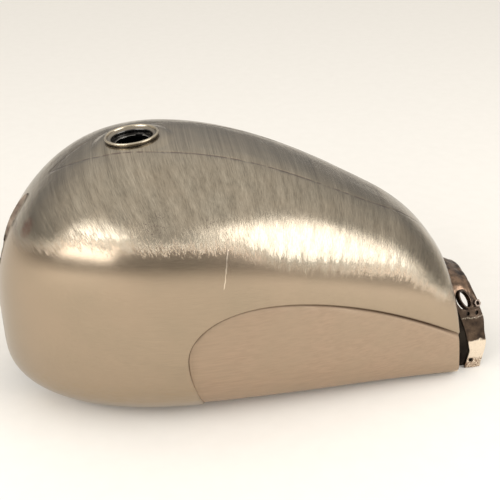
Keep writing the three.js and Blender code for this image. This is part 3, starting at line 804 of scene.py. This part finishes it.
def raw_material(name, light, dark, roughness):
    """Raw, handled sheet steel with stains, and brighter where it has been rubbed."""
    material, n, shader = new_material(name, roughness)
    position = n.position()
    stains = n.noise(position, 0.06, 4.0, 0.62)
    specks = n.noise(position, 0.7, 3.0, 0.6)
    base = n.mix(n.remap(stains, 0.35, 0.65), dark, light)
    base = n.mix(n.remap(specks, 0.6, 0.75, 0, 0.5), base, dark)
    n.join(base, shader.inputs["Base Color"])
    n.join(n.remap(stains, 0.3, 0.7, roughness + 0.12, roughness - 0.06), shader.inputs["Roughness"])
    n.join(n.bump(specks, 0.06 * MM), shader.inputs["Normal"])
    return material


def neck_material():
    """Turned steel: bright on the rolled rim, and near-black down the bore as painted shade."""
    material, n, shader = new_material("turned_rim", 0.2)
    position = n.position()
    specks = n.noise(position, 0.6, 3.0, 0.6)
    along_axis = n.make("ShaderNodeVectorMath", {0: position, 1: tuple(FILLER_AXIS)}, operation="DOT_PRODUCT")
    height = along_axis.outputs[1]
    seat = float(FILLER_ORIGIN @ FILLER_AXIS)
    outside = n.remap(height, seat + 0.6, seat + 1.5, 0, 1, True)
    ledge = n.remap(height, seat + 2.2, seat + 3.2, 0.85, 0, True)
    base = n.mix(n.remap(specks, 0.3, 0.7, 0, 0.4), RIM, GROUND_DARK)
    base = n.mix(ledge, base, RIM_DARK)
    # Painted shade: below the rim the bore is coloured near-black, for the shade inside the neck.
    base = n.mix(outside, BORE_SHADE_AND_STAIN, base)
    n.join(base, shader.inputs["Base Color"])
    n.join(n.remap(specks, 0.3, 0.7, 0.16, 0.30), shader.inputs["Roughness"])
    n.join(n.bump(specks, 0.08 * MM), shader.inputs["Normal"])
    return material


def bracket_material():
    """Dark brown mill scale with a painted highlight on the lower part of each leg, mottled at the foot."""
    material, n, shader = new_material("bracket_scale", 0.4)
    position = n.position()
    stains = n.noise(position, 0.10, 4.0, 0.62)
    specks = n.noise(position, 0.8, 3.0, 0.6)
    along, _, height = n.make("ShaderNodeSeparateXYZ", {0: position}).outputs
    ragged = n.math("ADD", height, n.math("MULTIPLY", n.math("SUBTRACT", stains, 0.5), 10.0))
    base = n.mix(n.remap(stains, 0.35, 0.65), SCALE_DARK, SCALE)
    browned = n.math("MULTIPLY", n.remap(ragged, 84, 92, 0, 0.8, True), n.remap(stains, 0.35, 0.6))
    base = n.mix(browned, base, SCALE_BROWN)
    # Painted highlight: the lower part of each leg, behind the fold, takes a pale colour where the bent leg
    # would catch the light.
    lower = n.remap(ragged, 33, 35.5, 1, 0, True)
    leg_highlight = n.math("MULTIPLY", lower, n.remap(along, 234.5, 236.5, 0, 1, True))
    foot = n.math("MULTIPLY", n.remap(ragged, 11, 15, 1, 0, True), n.remap(specks, 0.42, 0.55))
    base = n.mix(leg_highlight, base, SCRATCH_AND_HIGHLIGHT)
    base = n.mix(foot, base, SCALE_BROWN)
    line = n.remap(n.math("ABSOLUTE", n.math("SUBTRACT", ragged, 61.5)), 0.3, 1.1, 0.8, 0, True)
    base = n.mix(n.math("MULTIPLY", line, n.remap(specks, 0.45, 0.55)), base, GROUND)
    base = n.mix(n.remap(specks, 0.62, 0.72, 0, 0.5), base, SCALE_DARK)
    n.join(base, shader.inputs["Base Color"])
    n.join(n.remap(stains, 0.3, 0.7, 0.42, 0.24), shader.inputs["Roughness"])
    n.join(n.bump(specks, 0.10 * MM), shader.inputs["Normal"])
    return material


SIDE_SKIN = skin_material("satin_and_ground_steel", False)
TOP_SKIN = skin_material("ground_steel", True)
KNEE_SKIN = knee_material()
RAW_STEEL = raw_material("raw_steel", RAW, RAW_DARK, 0.42)
WELD = raw_material("weld_bead", GROUND, SCALE_DARK, 0.35)
FLOOR_SKIN = raw_material("satin_floor", SATIN, SATIN_DARK, 0.3)
NECK_STEEL = neck_material()
FILLER_INSIDE = raw_material("varnished_steel", BAYONET, BORE_SHADE_AND_STAIN, 0.16)
INSIDE_STEEL = raw_material("inside_steel", INNER, INNER_DARK, 0.45)
BRACKET_STEEL = bracket_material()
# Near-black sheet of painted shade inside the bracket's legs.
SHADE_SHEET_SKIN = raw_material("bracket_painted_shade", INNER_DARK, SHADE_SHEET_DARK, 0.35)
COLLAR_STEEL = raw_material("collar_steel", SCALE, SCALE_DARK, 0.25)

# ---- skins ------------------------------------------------------------------------------------------
# Lower edge of the ground band, as heights along X.
BAND_X = (-236, -177, -113, -39, 18, 82, 139, 187, 222)
BAND_Z = (194, 216, 214, 209, 181, 165, 149, 112, 96)


def band_edge(p):
    return p[:, 2] - np.interp(p[:, 0], BAND_X, BAND_Z)


def spread(start, end, count):
    return list(np.linspace(start, end, count, endpoint=False))


def around_steps(count):
    """Angles from the belly to the crest of the left half, evenly spaced along a middle section."""
    fine = np.linspace(-math.pi, 0, 4000)
    ring = form_surface(np.stack([np.full_like(fine, 1.0), fine], 1))
    length = np.concatenate([[0], np.cumsum(np.linalg.norm(np.diff(ring, axis=0), axis=1))])
    return np.interp(np.linspace(0, length[-1], count + 1), length, fine)


STATIONS = spread(0.0, 1.0, 56) + spread(1.0, 2.0, 72) + spread(2.0, 3.0, 36) + [3.0]
BASE = Sheet(form_surface, STATIONS, around_steps(110))
BASE.keep(notch_field).keep(level(tunnel_field, TUNNEL_WALL))
for rise in (-SEAM_HALF, 0, SEAM_HALF):
    BASE.split(level(leaf_field, rise))
for distance in (REAR_ROLL, REAR_ROLL / 3):
    BASE.split(lambda p, distance=distance: upright(p) - (X_REAR - distance))
BASE.split(flange_field)

top = BASE.copy().keep(leaf_field, -1)
top.keep(level(filler_field, NECK_BORE + 4))
for radius in (28, SEAT_FLAT, (SEAT_FLAT + SEAT_EDGE) / 2, SEAT_EDGE):
    top.split(level(filler_field, radius))

wall = BASE.copy().keep(leaf_field).keep(floor_field)
for distance in (KNEE_ROLL, 0.6 * KNEE_ROLL, 0.3 * KNEE_ROLL, 0.08 * KNEE_ROLL):
    wall.split(level(knee_field, distance))
wall.keep(knee_field)

floor_half = BASE.copy().keep(floor_field, -1)
knee = BASE.copy().keep(floor_field).keep(level(knee_field, KNEE_TUCK), -1)
knee.keep(lambda p: X_REAR - 1.5 - upright(p))


def turned_edge(p):
    near = smooth(1 - knee_field(p) / 0.6)
    return near * np.maximum(knee_depth(p) + 0.5 - KNEE_ROLL, 0)


def lid_field(p):
    """1 where the edge of the knee panel is overhung from above, 0 where it stands upright; the knee panel's
    painted shadow follows it.
    """
    step = np.array([0, 0, 0.5])
    facing = knee_field(p + step) - knee_field(p - step)
    return smooth((facing - 0.35) / 0.4) * smooth((p[:, 2] - 40) / 40)


def across_field(p):
    return p[:, 2] - 200


BANDS = (("band", band_edge), ("seam", leaf_field), ("along", lambda p: p[:, 0]), ("across", across_field))
metal_sheet("top_panel_skin", top, skin_depth, WALL, TOP_SKIN, ["top_panel"], both=True,
            fields=BANDS)
for side, label in ((-1, "left"), (1, "right")):
    metal_sheet(f"{label}_side_skin", wall, side_depth, WALL, SIDE_SKIN,
                [f"{label}_side_shell"], side, extra=turned_edge, fields=BANDS + (("edge", knee_field),))
    metal_sheet(f"{label}_knee_skin", knee, knee_depth, WALL, KNEE_SKIN,
                [f"{label}_knee_panel"], side, fields=(("edge", knee_field), ("lid", lid_field)))

# ---- panels underneath and at the ends -------------------------------------------------------------
def inside_field(p):
    """About how far inside the outer form a point is."""
    half, top, widest, bottom = section_at(np.clip(upright(p), X_FRONT + 0.01, X_REAR))
    upper = p[:, 2] >= widest
    reach = np.where(upper, top - widest, widest - bottom)
    power = np.where(upper, TOP_POWER, BELLY_POWER)
    outward = np.abs(p[:, 1] / np.maximum(half, 1)) ** power
    upward = np.abs((p[:, 2] - widest) / np.maximum(reach, 1)) ** power
    return (1 - (outward + upward) ** (1 / power)) * np.minimum(half, reach)


def post_field(x, y, radius):
    return lambda p: np.hypot(p[:, 0] - x, p[:, 1] - y) - radius


def floor_depth(p):
    """Hand-worked unevenness of the floor, level around the fittings and where it rests."""
    free = smooth((np.hypot(p[:, 0] - BUNG_X, np.abs(p[:, 1]) - BUNG_Y) - 14) / 10)
    return -0.35 * free * (0.5 + 0.5 * waves(p, 60, 11)) * smooth(p[:, 2] / 3)


for side, label in ((-1, "left"), (1, "right")):
    panel = floor_half.copy().keep(post_field(BUNG_X, -BUNG_Y, BUNG_RADIUS + GAP))
    if side < 0:
        panel.keep(post_field(BREATHER_X, BREATHER_Y, BREATHER_RADIUS + GAP))
    metal_sheet(f"{label}_floor_skin", panel, floor_depth, WALL, FLOOR_SKIN,
                [f"{label}_floor_panel"], side)


def notch_surface(params):
    y, z = params[:, 0], params[:, 1]
    return np.stack([NOTCH_X - y ** 2 / NOTCH_FOCUS, y, z], 1)


notch_sheet = Sheet(notch_surface, np.linspace(-34, 34, 69), np.linspace(TUNNEL_REAR_TOP, 240, 90))
notch_sheet.keep(inside_field).keep(level(tunnel_field, TUNNEL_WALL + GAP))
metal_sheet("head_notch_skin", notch_sheet, lambda p: 0.25 * waves(p, 26, 8), WALL, RAW_STEEL,
            ["head_notch_panel"])


def tunnel_surface(params):
    """u runs along X; v is the arch's angle, and the straight sides carry it on past each springing."""
    x, v = params[:, 0], params[:, 1]
    spring = tunnel_top(x) - TUNNEL_HALF
    angle = np.clip(v, 0, math.pi)
    down = np.where(v < 0, -v, np.where(v > math.pi, v - math.pi, 0))
    z = spring + TUNNEL_HALF * np.sin(angle) - down * spring
    return np.stack([x, -TUNNEL_HALF * np.cos(angle), z], 1)


def tunnel_depth(p):
    """Hand-worked unevenness of the arch; the straight sides stay flat."""
    return 0.3 * waves(p, 80, 21) * (np.abs(p[:, 1]) < TUNNEL_HALF - 1)


tunnel_sheet = Sheet(tunnel_surface, np.linspace(X_FRONT + 0.2, X_REAR + 4, 98),
                     np.concatenate([np.linspace(-1, 0, 12, endpoint=False), np.linspace(0, math.pi, 40),
                                     np.linspace(math.pi, math.pi + 1, 13)[1:]]))
tunnel_sheet.keep(lambda p: X_REAR - 0.1 - upright(p)).keep(inside_field).keep(level(notch_field, WALL + GAP))
metal_sheet("tunnel_skin", tunnel_sheet, tunnel_depth, TUNNEL_WALL, RAW_STEEL, ["tunnel"])


def rear_surface(params):
    return np.stack([np.full(len(params), REAR_PANEL_X + WALL), params[:, 0], params[:, 1]], 1)


def rear_dish(p):
    """A shallow pressed dish that stiffens the rear panel."""
    return 2.2 * smooth((inside_field(p) - 9) / 5) * smooth((tunnel_field(p) - 7) / 5)


def rear_edge(p):
    """Distance inside the shells and the knee panels where the rear panel meets them."""
    sunk = np.where(knee_field(p) < KNEE_ROLL, KNEE_SHALLOW + 0.4, 0.0)
    return inside_field(p) - WALL - GAP - sunk


rear_sheet = Sheet(rear_surface, np.linspace(-110, 110, 111), np.linspace(FLOOR_SPLIT + GAP, 170, 84))
rear_sheet.keep(rear_edge).keep(level(tunnel_field, TUNNEL_WALL + GAP))
metal_sheet("rear_panel_skin", rear_sheet, rear_dish, WALL, RAW_STEEL, ["rear_panel"])

# ---- filler -----------------------------------------------------------------------------------------
NECK_PROFILE = (
    (NECK_BORE, -NECK_DEPTH), (NECK_BORE + WALL, -NECK_DEPTH), (NECK_BORE + WALL, 0.0), (NECK_RIM - 2.6, 0.1),
    (NECK_RIM - 0.7, 0.2), (NECK_RIM - 0.6, 1.5), (NECK_RIM, 2.2), (NECK_RIM, 3.6), (NECK_RIM - 0.7, 4.2),
    (NECK_RIM - 1.9, 4.2), (NECK_RIM - 2.7, 3.6), (NECK_RIM - 3.0, 2.2), (NECK_RIM - 4.6, 1.7),
    (NECK_BORE + 0.7, 1.4), (NECK_BORE, 0.4),
)
ring("filler_neck_rolled", softened(NECK_PROFILE, 1.2), FILLER_ORIGIN, FILLER_AXIS, "filler_steel",
     NECK_STEEL, ["filler_neck"], sides=128)


def washer(inner, outer, bottom, top, radius):
    """The profile of a flat ring or a short tube, with its corners rounded off."""
    return softened(((inner, bottom), (outer, bottom), (outer, top), (inner, top)), radius)


BACKING_PROFILE = washer(NECK_BORE + WALL + GAP, NECK_BORE + 12, -9, -7.6, 0.4)
ring("filler_backing_ring_turned", BACKING_PROFILE, FILLER_ORIGIN, FILLER_AXIS, "raw_steel", RAW_STEEL,
     ["filler_backing_ring"])


def bayonet_shift(angle, radius):
    """Two notches that let the cap's tongues pass."""
    across = np.abs(np.cos(angle)) * NECK_BORE
    deep = smooth((BAYONET_SLOT / 2 + 0.4 - across) / 0.8)
    floor_radius = NECK_BORE - BAYONET_REACH + BAYONET_BITE
    return np.where(radius < floor_radius, radius + (floor_radius - radius) * deep, radius)


BAYONET_PROFILE = washer(NECK_BORE - BAYONET_REACH, NECK_BORE - GAP, BAYONET_BOTTOM, BAYONET_TOP, 0.5)
ring("filler_bayonet_ring_cut", BAYONET_PROFILE, FILLER_ORIGIN, FILLER_AXIS, "raw_steel", FILLER_INSIDE,
     ["filler_bayonet_ring"], sides=240, shift=bayonet_shift,
     towards=(math.cos(BAYONET_TURN), -math.sin(BAYONET_TURN), 0))

# ---- fittings underneath ----------------------------------------------------------------------------
THREAD_PITCH, THREAD_DEPTH = 1.5, 0.6
thread = []
for k in range(int((BUNG_HEIGHT - 3) / THREAD_PITCH)):
    base_height = 1.5 + k * THREAD_PITCH
    thread += [(BUNG_BORE, base_height), (BUNG_BORE + THREAD_DEPTH, base_height + THREAD_PITCH / 2)]
BUNG_OUTSIDE = [
    (BUNG_BORE + 0.8, 0.0), (BUNG_RADIUS - 0.8, 0.0), (BUNG_RADIUS, 0.8),
    (BUNG_RADIUS, BUNG_HEIGHT - 1), (BUNG_RADIUS - 1, BUNG_HEIGHT), (BUNG_BORE + 0.8, BUNG_HEIGHT),
]
BUNG_PROFILE = np.array(BUNG_OUTSIDE + thread[::-1])
CUP_INSIDE, CUP_MIDDLE = CUP_RADIUS - CUP_WALL, 0.4
CUP_PROFILE = softened((
    (CUP_MIDDLE, 0.0), (CUP_RADIUS, 0.0), (CUP_RADIUS, CUP_DEPTH),
    (CUP_INSIDE, CUP_DEPTH), (CUP_INSIDE, CUP_WALL), (CUP_MIDDLE, CUP_WALL),
), 1.2)
BUNG_WELD, BRACKET_WELD, NOTCH_WELD = 1.3, 1.7, 1.6
for side, label in ((-1, "left"), (1, "right")):
    ring(f"{label}_tap_bung_threaded", BUNG_PROFILE, (BUNG_X, side * BUNG_Y, 0), (0, 0, 1), "raw_steel",
         RAW_STEEL, [f"{label}_tap_bung"], sides=64)
    wall_y = side * (TUNNEL_HALF - GAP)
    ring(f"{label}_mount_cup_pressed", CUP_PROFILE, (CUP_X, wall_y, CUP_Z), (0, -side, 0), "raw_steel",
         RAW_STEEL, [f"{label}_mount_cup"], sides=72)
    turn = np.linspace(0, 2 * math.pi, 60)
    around_bung = np.stack([BUNG_X + (BUNG_RADIUS + 0.8) * np.cos(turn),
                            side * BUNG_Y + (BUNG_RADIUS + 0.8) * np.sin(turn), 0 * turn + 1.3], 1)
    bead(f"{label}_tap_bung_weld", around_bung, BUNG_WELD, WELD, 30 + side)

# ---- rear bracket -----------------------------------------------------------------------------------
def hood_surface(params):
    x, angle = params[:, 0], params[:, 1]
    fraction = (x - HOOD_FRONT) / (HOOD_REAR - HOOD_FRONT)
    height = np.maximum(HOOD_TOP - HOOD_FALL * fraction ** 2, 6)
    c, w = np.maximum(np.cos(angle), 0), np.sin(angle)
    y = HOOD_HALF * np.sign(w) * np.abs(w) ** (2 / HOOD_POWER)
    return np.stack([x, y, height * c ** (2 / HOOD_POWER)], 1)


def hood_angles(count):
    fine = np.linspace(-math.pi / 2 + 1e-4, math.pi / 2 - 1e-4, 4000)
    section = hood_surface(np.stack([np.full_like(fine, (HOOD_FRONT + HOOD_REAR) / 2), fine], 1))
    length = np.concatenate([[0], np.cumsum(np.linalg.norm(np.diff(section, axis=0), axis=1))])
    return np.interp(np.linspace(0, length[-1], count + 1), length, fine)


def side_axes(side):
    axis = unit((0.42, side * 0.66, 0.62))
    long_way = np.array((0.54, side * 0.6, -0.59))
    return axis, unit(long_way - (long_way @ axis) * axis)


def oval_field(side, grow):
    axis, long_way = side_axes(side)
    short_way = np.cross(axis, long_way)
    centre = np.array((HOLE_AT[0], side * HOLE_AT[1], HOLE_AT[2]))

    def field(p):
        off = p - centre
        share = np.hypot(off @ long_way / (HOLE_LONG + grow), off @ short_way / (HOLE_SHORT + grow))
        return (share - 1) * HOLE_SHORT + np.where(off @ axis < BEHIND, FAR, 0)
    return field


def leg_field(outline):
    return lambda p: polygon_field(p[:, [0, 2]], np.array(outline, float))


def leg_hole_field(x, z, radius):
    return lambda p: np.hypot(p[:, 0] - x, p[:, 2] - z) - radius + np.where(p[:, 2] > LEG_TOP_Z, FAR, 0)


NUT_CREST = HOOD_TOP - HOOD_FALL * ((NUT_AT[0] - HOOD_FRONT) / (HOOD_REAR - HOOD_FRONT)) ** 2
NUT_AXIS = unit((0.37, -0.75, 0.545))
NUT_REACH = HOOD_HALF * (1 - (NUT_AT[1] / NUT_CREST) ** HOOD_POWER) ** (1 / HOOD_POWER)
NUT_SEAT = np.array((NUT_AT[0], -NUT_REACH, NUT_AT[1]))


def nut_hole_field(p):
    off = p - NUT_SEAT
    height = off @ NUT_AXIS
    radius = np.linalg.norm(off - height[:, None] * NUT_AXIS, axis=1)
    return radius - NUT_BORE + np.where(height < BEHIND, FAR, 0)


FOLD_X, FOLD_WIDTH = 238.5, 1.6


def hood_depth(p):
    """Two pressed flats on each leg with a fold between them, a raised shoulder, and a hammered surface."""
    leg = smooth((44 - p[:, 2]) / 14)
    fold = np.abs(p[:, 0] - FOLD_X - 0.15 * (30 - p[:, 2]))
    dent = 1.2 * leg * smooth((p[:, 0] - FOLD_X - 6) / 9)
    shoulder = -1.3 * smooth((p[:, 2] - 70) / 2.5) * smooth((p[:, 0] - 233) / 4)
    rough = 0.22 * waves(p, 17, 13) + 0.12 * waves(p, 6, 14)
    return dent - 0.4 * leg * np.exp(-(fold / FOLD_WIDTH) ** 2) + shoulder + rough


hood = Sheet(hood_surface, np.linspace(HOOD_FRONT, HOOD_REAR, 67), hood_angles(210))
hood.keep(leg_field(softened(BRACKET_FRONT, 3))).keep(leg_field(softened(BRACKET_REAR, 2.5)))
hood.keep(nut_hole_field)
for side in (-1, 1):
    hood.keep(oval_field(side, COLLAR_WALL + GAP))
for x, z, radius in LEG_HOLES:
    hood.keep(leg_hole_field(x, z, radius))
metal_sheet("rear_bracket_pressed", hood, hood_depth, HOOD_WALL, BRACKET_STEEL, ["rear_bracket"])


# A near-black sheet just inside each leg of the bracket, filling the gap in front of the leg and the back of
# its holes: painted shade, where the inside of the bracket is in shadow.
def shade_sheet_surface(params):
    x, angle = params[:, 0], params[:, 1]
    c, w = np.maximum(np.cos(angle), 0), np.sin(angle)
    y = (HOOD_HALF - SHADE_SHEET_INSET) * np.sign(w) * np.abs(w) ** (2 / HOOD_POWER)
    height = HOOD_TOP - HOOD_FALL * ((x - HOOD_FRONT) / (HOOD_REAR - HOOD_FRONT)) ** 2 - SHADE_SHEET_INSET
    return np.stack([x, y, height * c ** (2 / HOOD_POWER)], 1)


shade_sheet = Sheet(shade_sheet_surface, np.linspace(216, 251, 36), np.linspace(-math.pi / 2 + 1e-4, -0.6, 60))
shade_sheet.keep(leg_field(softened(SHADE_SHEET_OUTLINE, 2)), -1).keep(leg_field(softened(BRACKET_REAR, 2.5)))
for side, label in ((-1, "left"), (1, "right")):
    metal_sheet(f"{label}_bracket_shade_sheet", shade_sheet, lambda p: 0.3 * waves(p, 14, 17), HOOD_WALL,
                SHADE_SHEET_SKIN, (), side)

COLLAR_PROFILE = washer(0.0, COLLAR_WALL, -COLLAR_LENGTH / 2, COLLAR_LENGTH / 2, 0.7)
for side, label in ((-1, "left"), (1, "right")):
    axis, long_way = side_axes(side)
    ring(f"{label}_bracket_collar_rolled", COLLAR_PROFILE, (HOLE_AT[0], side * HOLE_AT[1], HOLE_AT[2]), axis,
         "raw_steel", COLLAR_STEEL, [f"{label}_bracket_collar"], sides=72, long=HOLE_LONG, short=HOLE_SHORT,
         towards=long_way)

NUT_PROFILE = washer(NUT_BORE, NUT_RADIUS, 0.0, NUT_HEIGHT, 0.6)


def hexagonal(angle, radius):
    """Draws the outer face of the nut in to a hexagon."""
    flat = np.mod(angle, math.pi / 3) - math.pi / 6
    edge = NUT_RADIUS * math.cos(math.pi / 6) / np.cos(flat)
    return np.where(radius > (NUT_BORE + NUT_RADIUS) / 2, radius * edge / NUT_RADIUS, radius)


ring("bracket_nut_hex", NUT_PROFILE, NUT_SEAT + NUT_AXIS * NUT_CLEAR, NUT_AXIS, "raw_steel", RAW_STEEL,
     ["bracket_nut"], sides=72, shift=hexagonal, smooth_angle=25)

# ---- welds --------------------------------------------------------------------------------------------
def lip_path(low, high, count, out):
    """Across the front edge of the hood, over its crest, from one angle to another."""
    angle = np.linspace(low, high, count)
    path = hood_surface(np.stack([np.full(count, HOOD_FRONT + 1.5), angle], 1))
    return path + np.array([0, 0, out])


bead("bracket_weld", lip_path(-0.95, 0.95, 90, 0.2), BRACKET_WELD, WELD, 5)


def notch_path(count):
    """Along the upper edge of the steering-head notch, just inside the shell's outer face."""
    y = np.linspace(-27, 27, count)
    x = NOTCH_X - y ** 2 / NOTCH_FOCUS
    half, crest, widest, _ = section_at(x)
    z = widest + (crest - widest) * rounding(np.abs(y) / half, TOP_POWER)
    return np.stack([x + 0.3, y, z - 0.6], 1)


bead("notch_weld", notch_path(120), NOTCH_WELD, WELD, 6)

for name in ("front_baffle", "rear_baffle", "breather_pipe"):
    slots = frame["nodes"][name].data.materials
    if len(slots):
        slots[0] = INSIDE_STEEL
    else:
        slots.append(INSIDE_STEEL)

# ---- stage ------------------------------------------------------------------------------------------
def direction_towards(azimuth, elevation):
    """A way out from the tank, in degrees; azimuth 0 is square to its left-hand side, and grows rearward."""
    turn, lift = math.radians(azimuth), math.radians(elevation)
    return Vector((math.sin(turn) * math.cos(lift), -math.cos(turn) * math.cos(lift), math.sin(lift)))


CAMERA_LENS, SENSOR_WIDTH = 70.3, 36
CAMERA_TURN, CAMERA_LIFT, CAMERA_AWAY = -8, 27, 1.058     # degrees, degrees and metres
TARGET_X, TARGET_Z = -0.002 + CENTRING * MM, 0.1366


def camera():
    data = bpy.data.cameras.new("camera")
    data.lens = CAMERA_LENS
    data.sensor_width = SENSOR_WIDTH
    obj = bpy.data.objects.new("camera", data)
    bpy.context.scene.collection.objects.link(obj)
    way = direction_towards(CAMERA_TURN, CAMERA_LIFT)
    obj.location = Vector((TARGET_X, 0, TARGET_Z)) + way * CAMERA_AWAY
    obj.rotation_euler = (-way).to_track_quat("-Z", "Y").to_euler()
    bpy.context.scene.camera = obj


# A plain studio: a soft sky that is brightest overhead, and two equal soft boxes, one towards each end.
STUDIO_LOW = colour(0.30, 0.29, 0.28)
STUDIO_HIGH = colour(1.05, 1.02, 0.97)
SOFT_BOX_SIDE, SOFT_BOX_LIFT, SOFT_BOX_AWAY = 55.0, 28.0, 2.0     # degrees, degrees and metres
SOFT_BOX_WIDE, SOFT_BOX_HIGH, SOFT_BOX_POWER = 1.5, 1.1, 22.0
FLOOR_SIZE = 200.0


def world():
    """A soft white sky, dimmer towards the horizon."""
    scene_world = bpy.data.worlds.new("studio")
    bpy.context.scene.world = scene_world
    scene_world.use_nodes = True
    tree = scene_world.node_tree
    n = Nodes(tree)
    direction = n.make("ShaderNodeTexCoord").outputs["Generated"]
    rise = n.make("ShaderNodeSeparateXYZ", {0: direction}).outputs[2]
    sky = n.mix(n.remap(rise, 0.0, 0.8, 0.0, 1.0, True), STUDIO_LOW, STUDIO_HIGH)
    n.join(sky, tree.nodes["Background"].inputs["Color"])


def floor():
    """A plain pale paper floor."""
    bpy.ops.mesh.primitive_plane_add(size=FLOOR_SIZE, location=(0, 0, -0.0005))
    obj = bpy.context.object
    obj.name = "floor"
    material = bpy.data.materials.new("floor_paper")
    material.use_nodes = True
    n = Nodes(material.node_tree)
    shader = material.node_tree.nodes["Principled BSDF"]
    fibres = n.noise(n.make("ShaderNodeTexCoord").outputs["Object"], 50.0, 3.0, 0.5)
    n.join(n.mix(fibres, colour(0.82, 0.79, 0.74), colour(0.86, 0.83, 0.78)), shader.inputs["Base Color"])
    shader.inputs["Roughness"].default_value = 0.9
    shader.inputs["Specular IOR Level"].default_value = 0.1
    obj.data.materials.append(material)


def soft_box(name, azimuth):
    """A large soft light aimed at the tank."""
    data = bpy.data.lights.new(name, "AREA")
    data.shape = "RECTANGLE"
    data.size, data.size_y = SOFT_BOX_WIDE, SOFT_BOX_HIGH
    data.energy = SOFT_BOX_POWER
    obj = bpy.data.objects.new(name, data)
    bpy.context.scene.collection.objects.link(obj)
    way = direction_towards(azimuth, SOFT_BOX_LIFT)
    obj.location = way * SOFT_BOX_AWAY
    obj.rotation_euler = way.to_track_quat("Z", "Y").to_euler()


camera()
world()
floor()
soft_box("soft_box_left", -SOFT_BOX_SIDE)
soft_box("soft_box_right", SOFT_BOX_SIDE)
bpy.context.scene.view_settings.view_transform = "Standard"
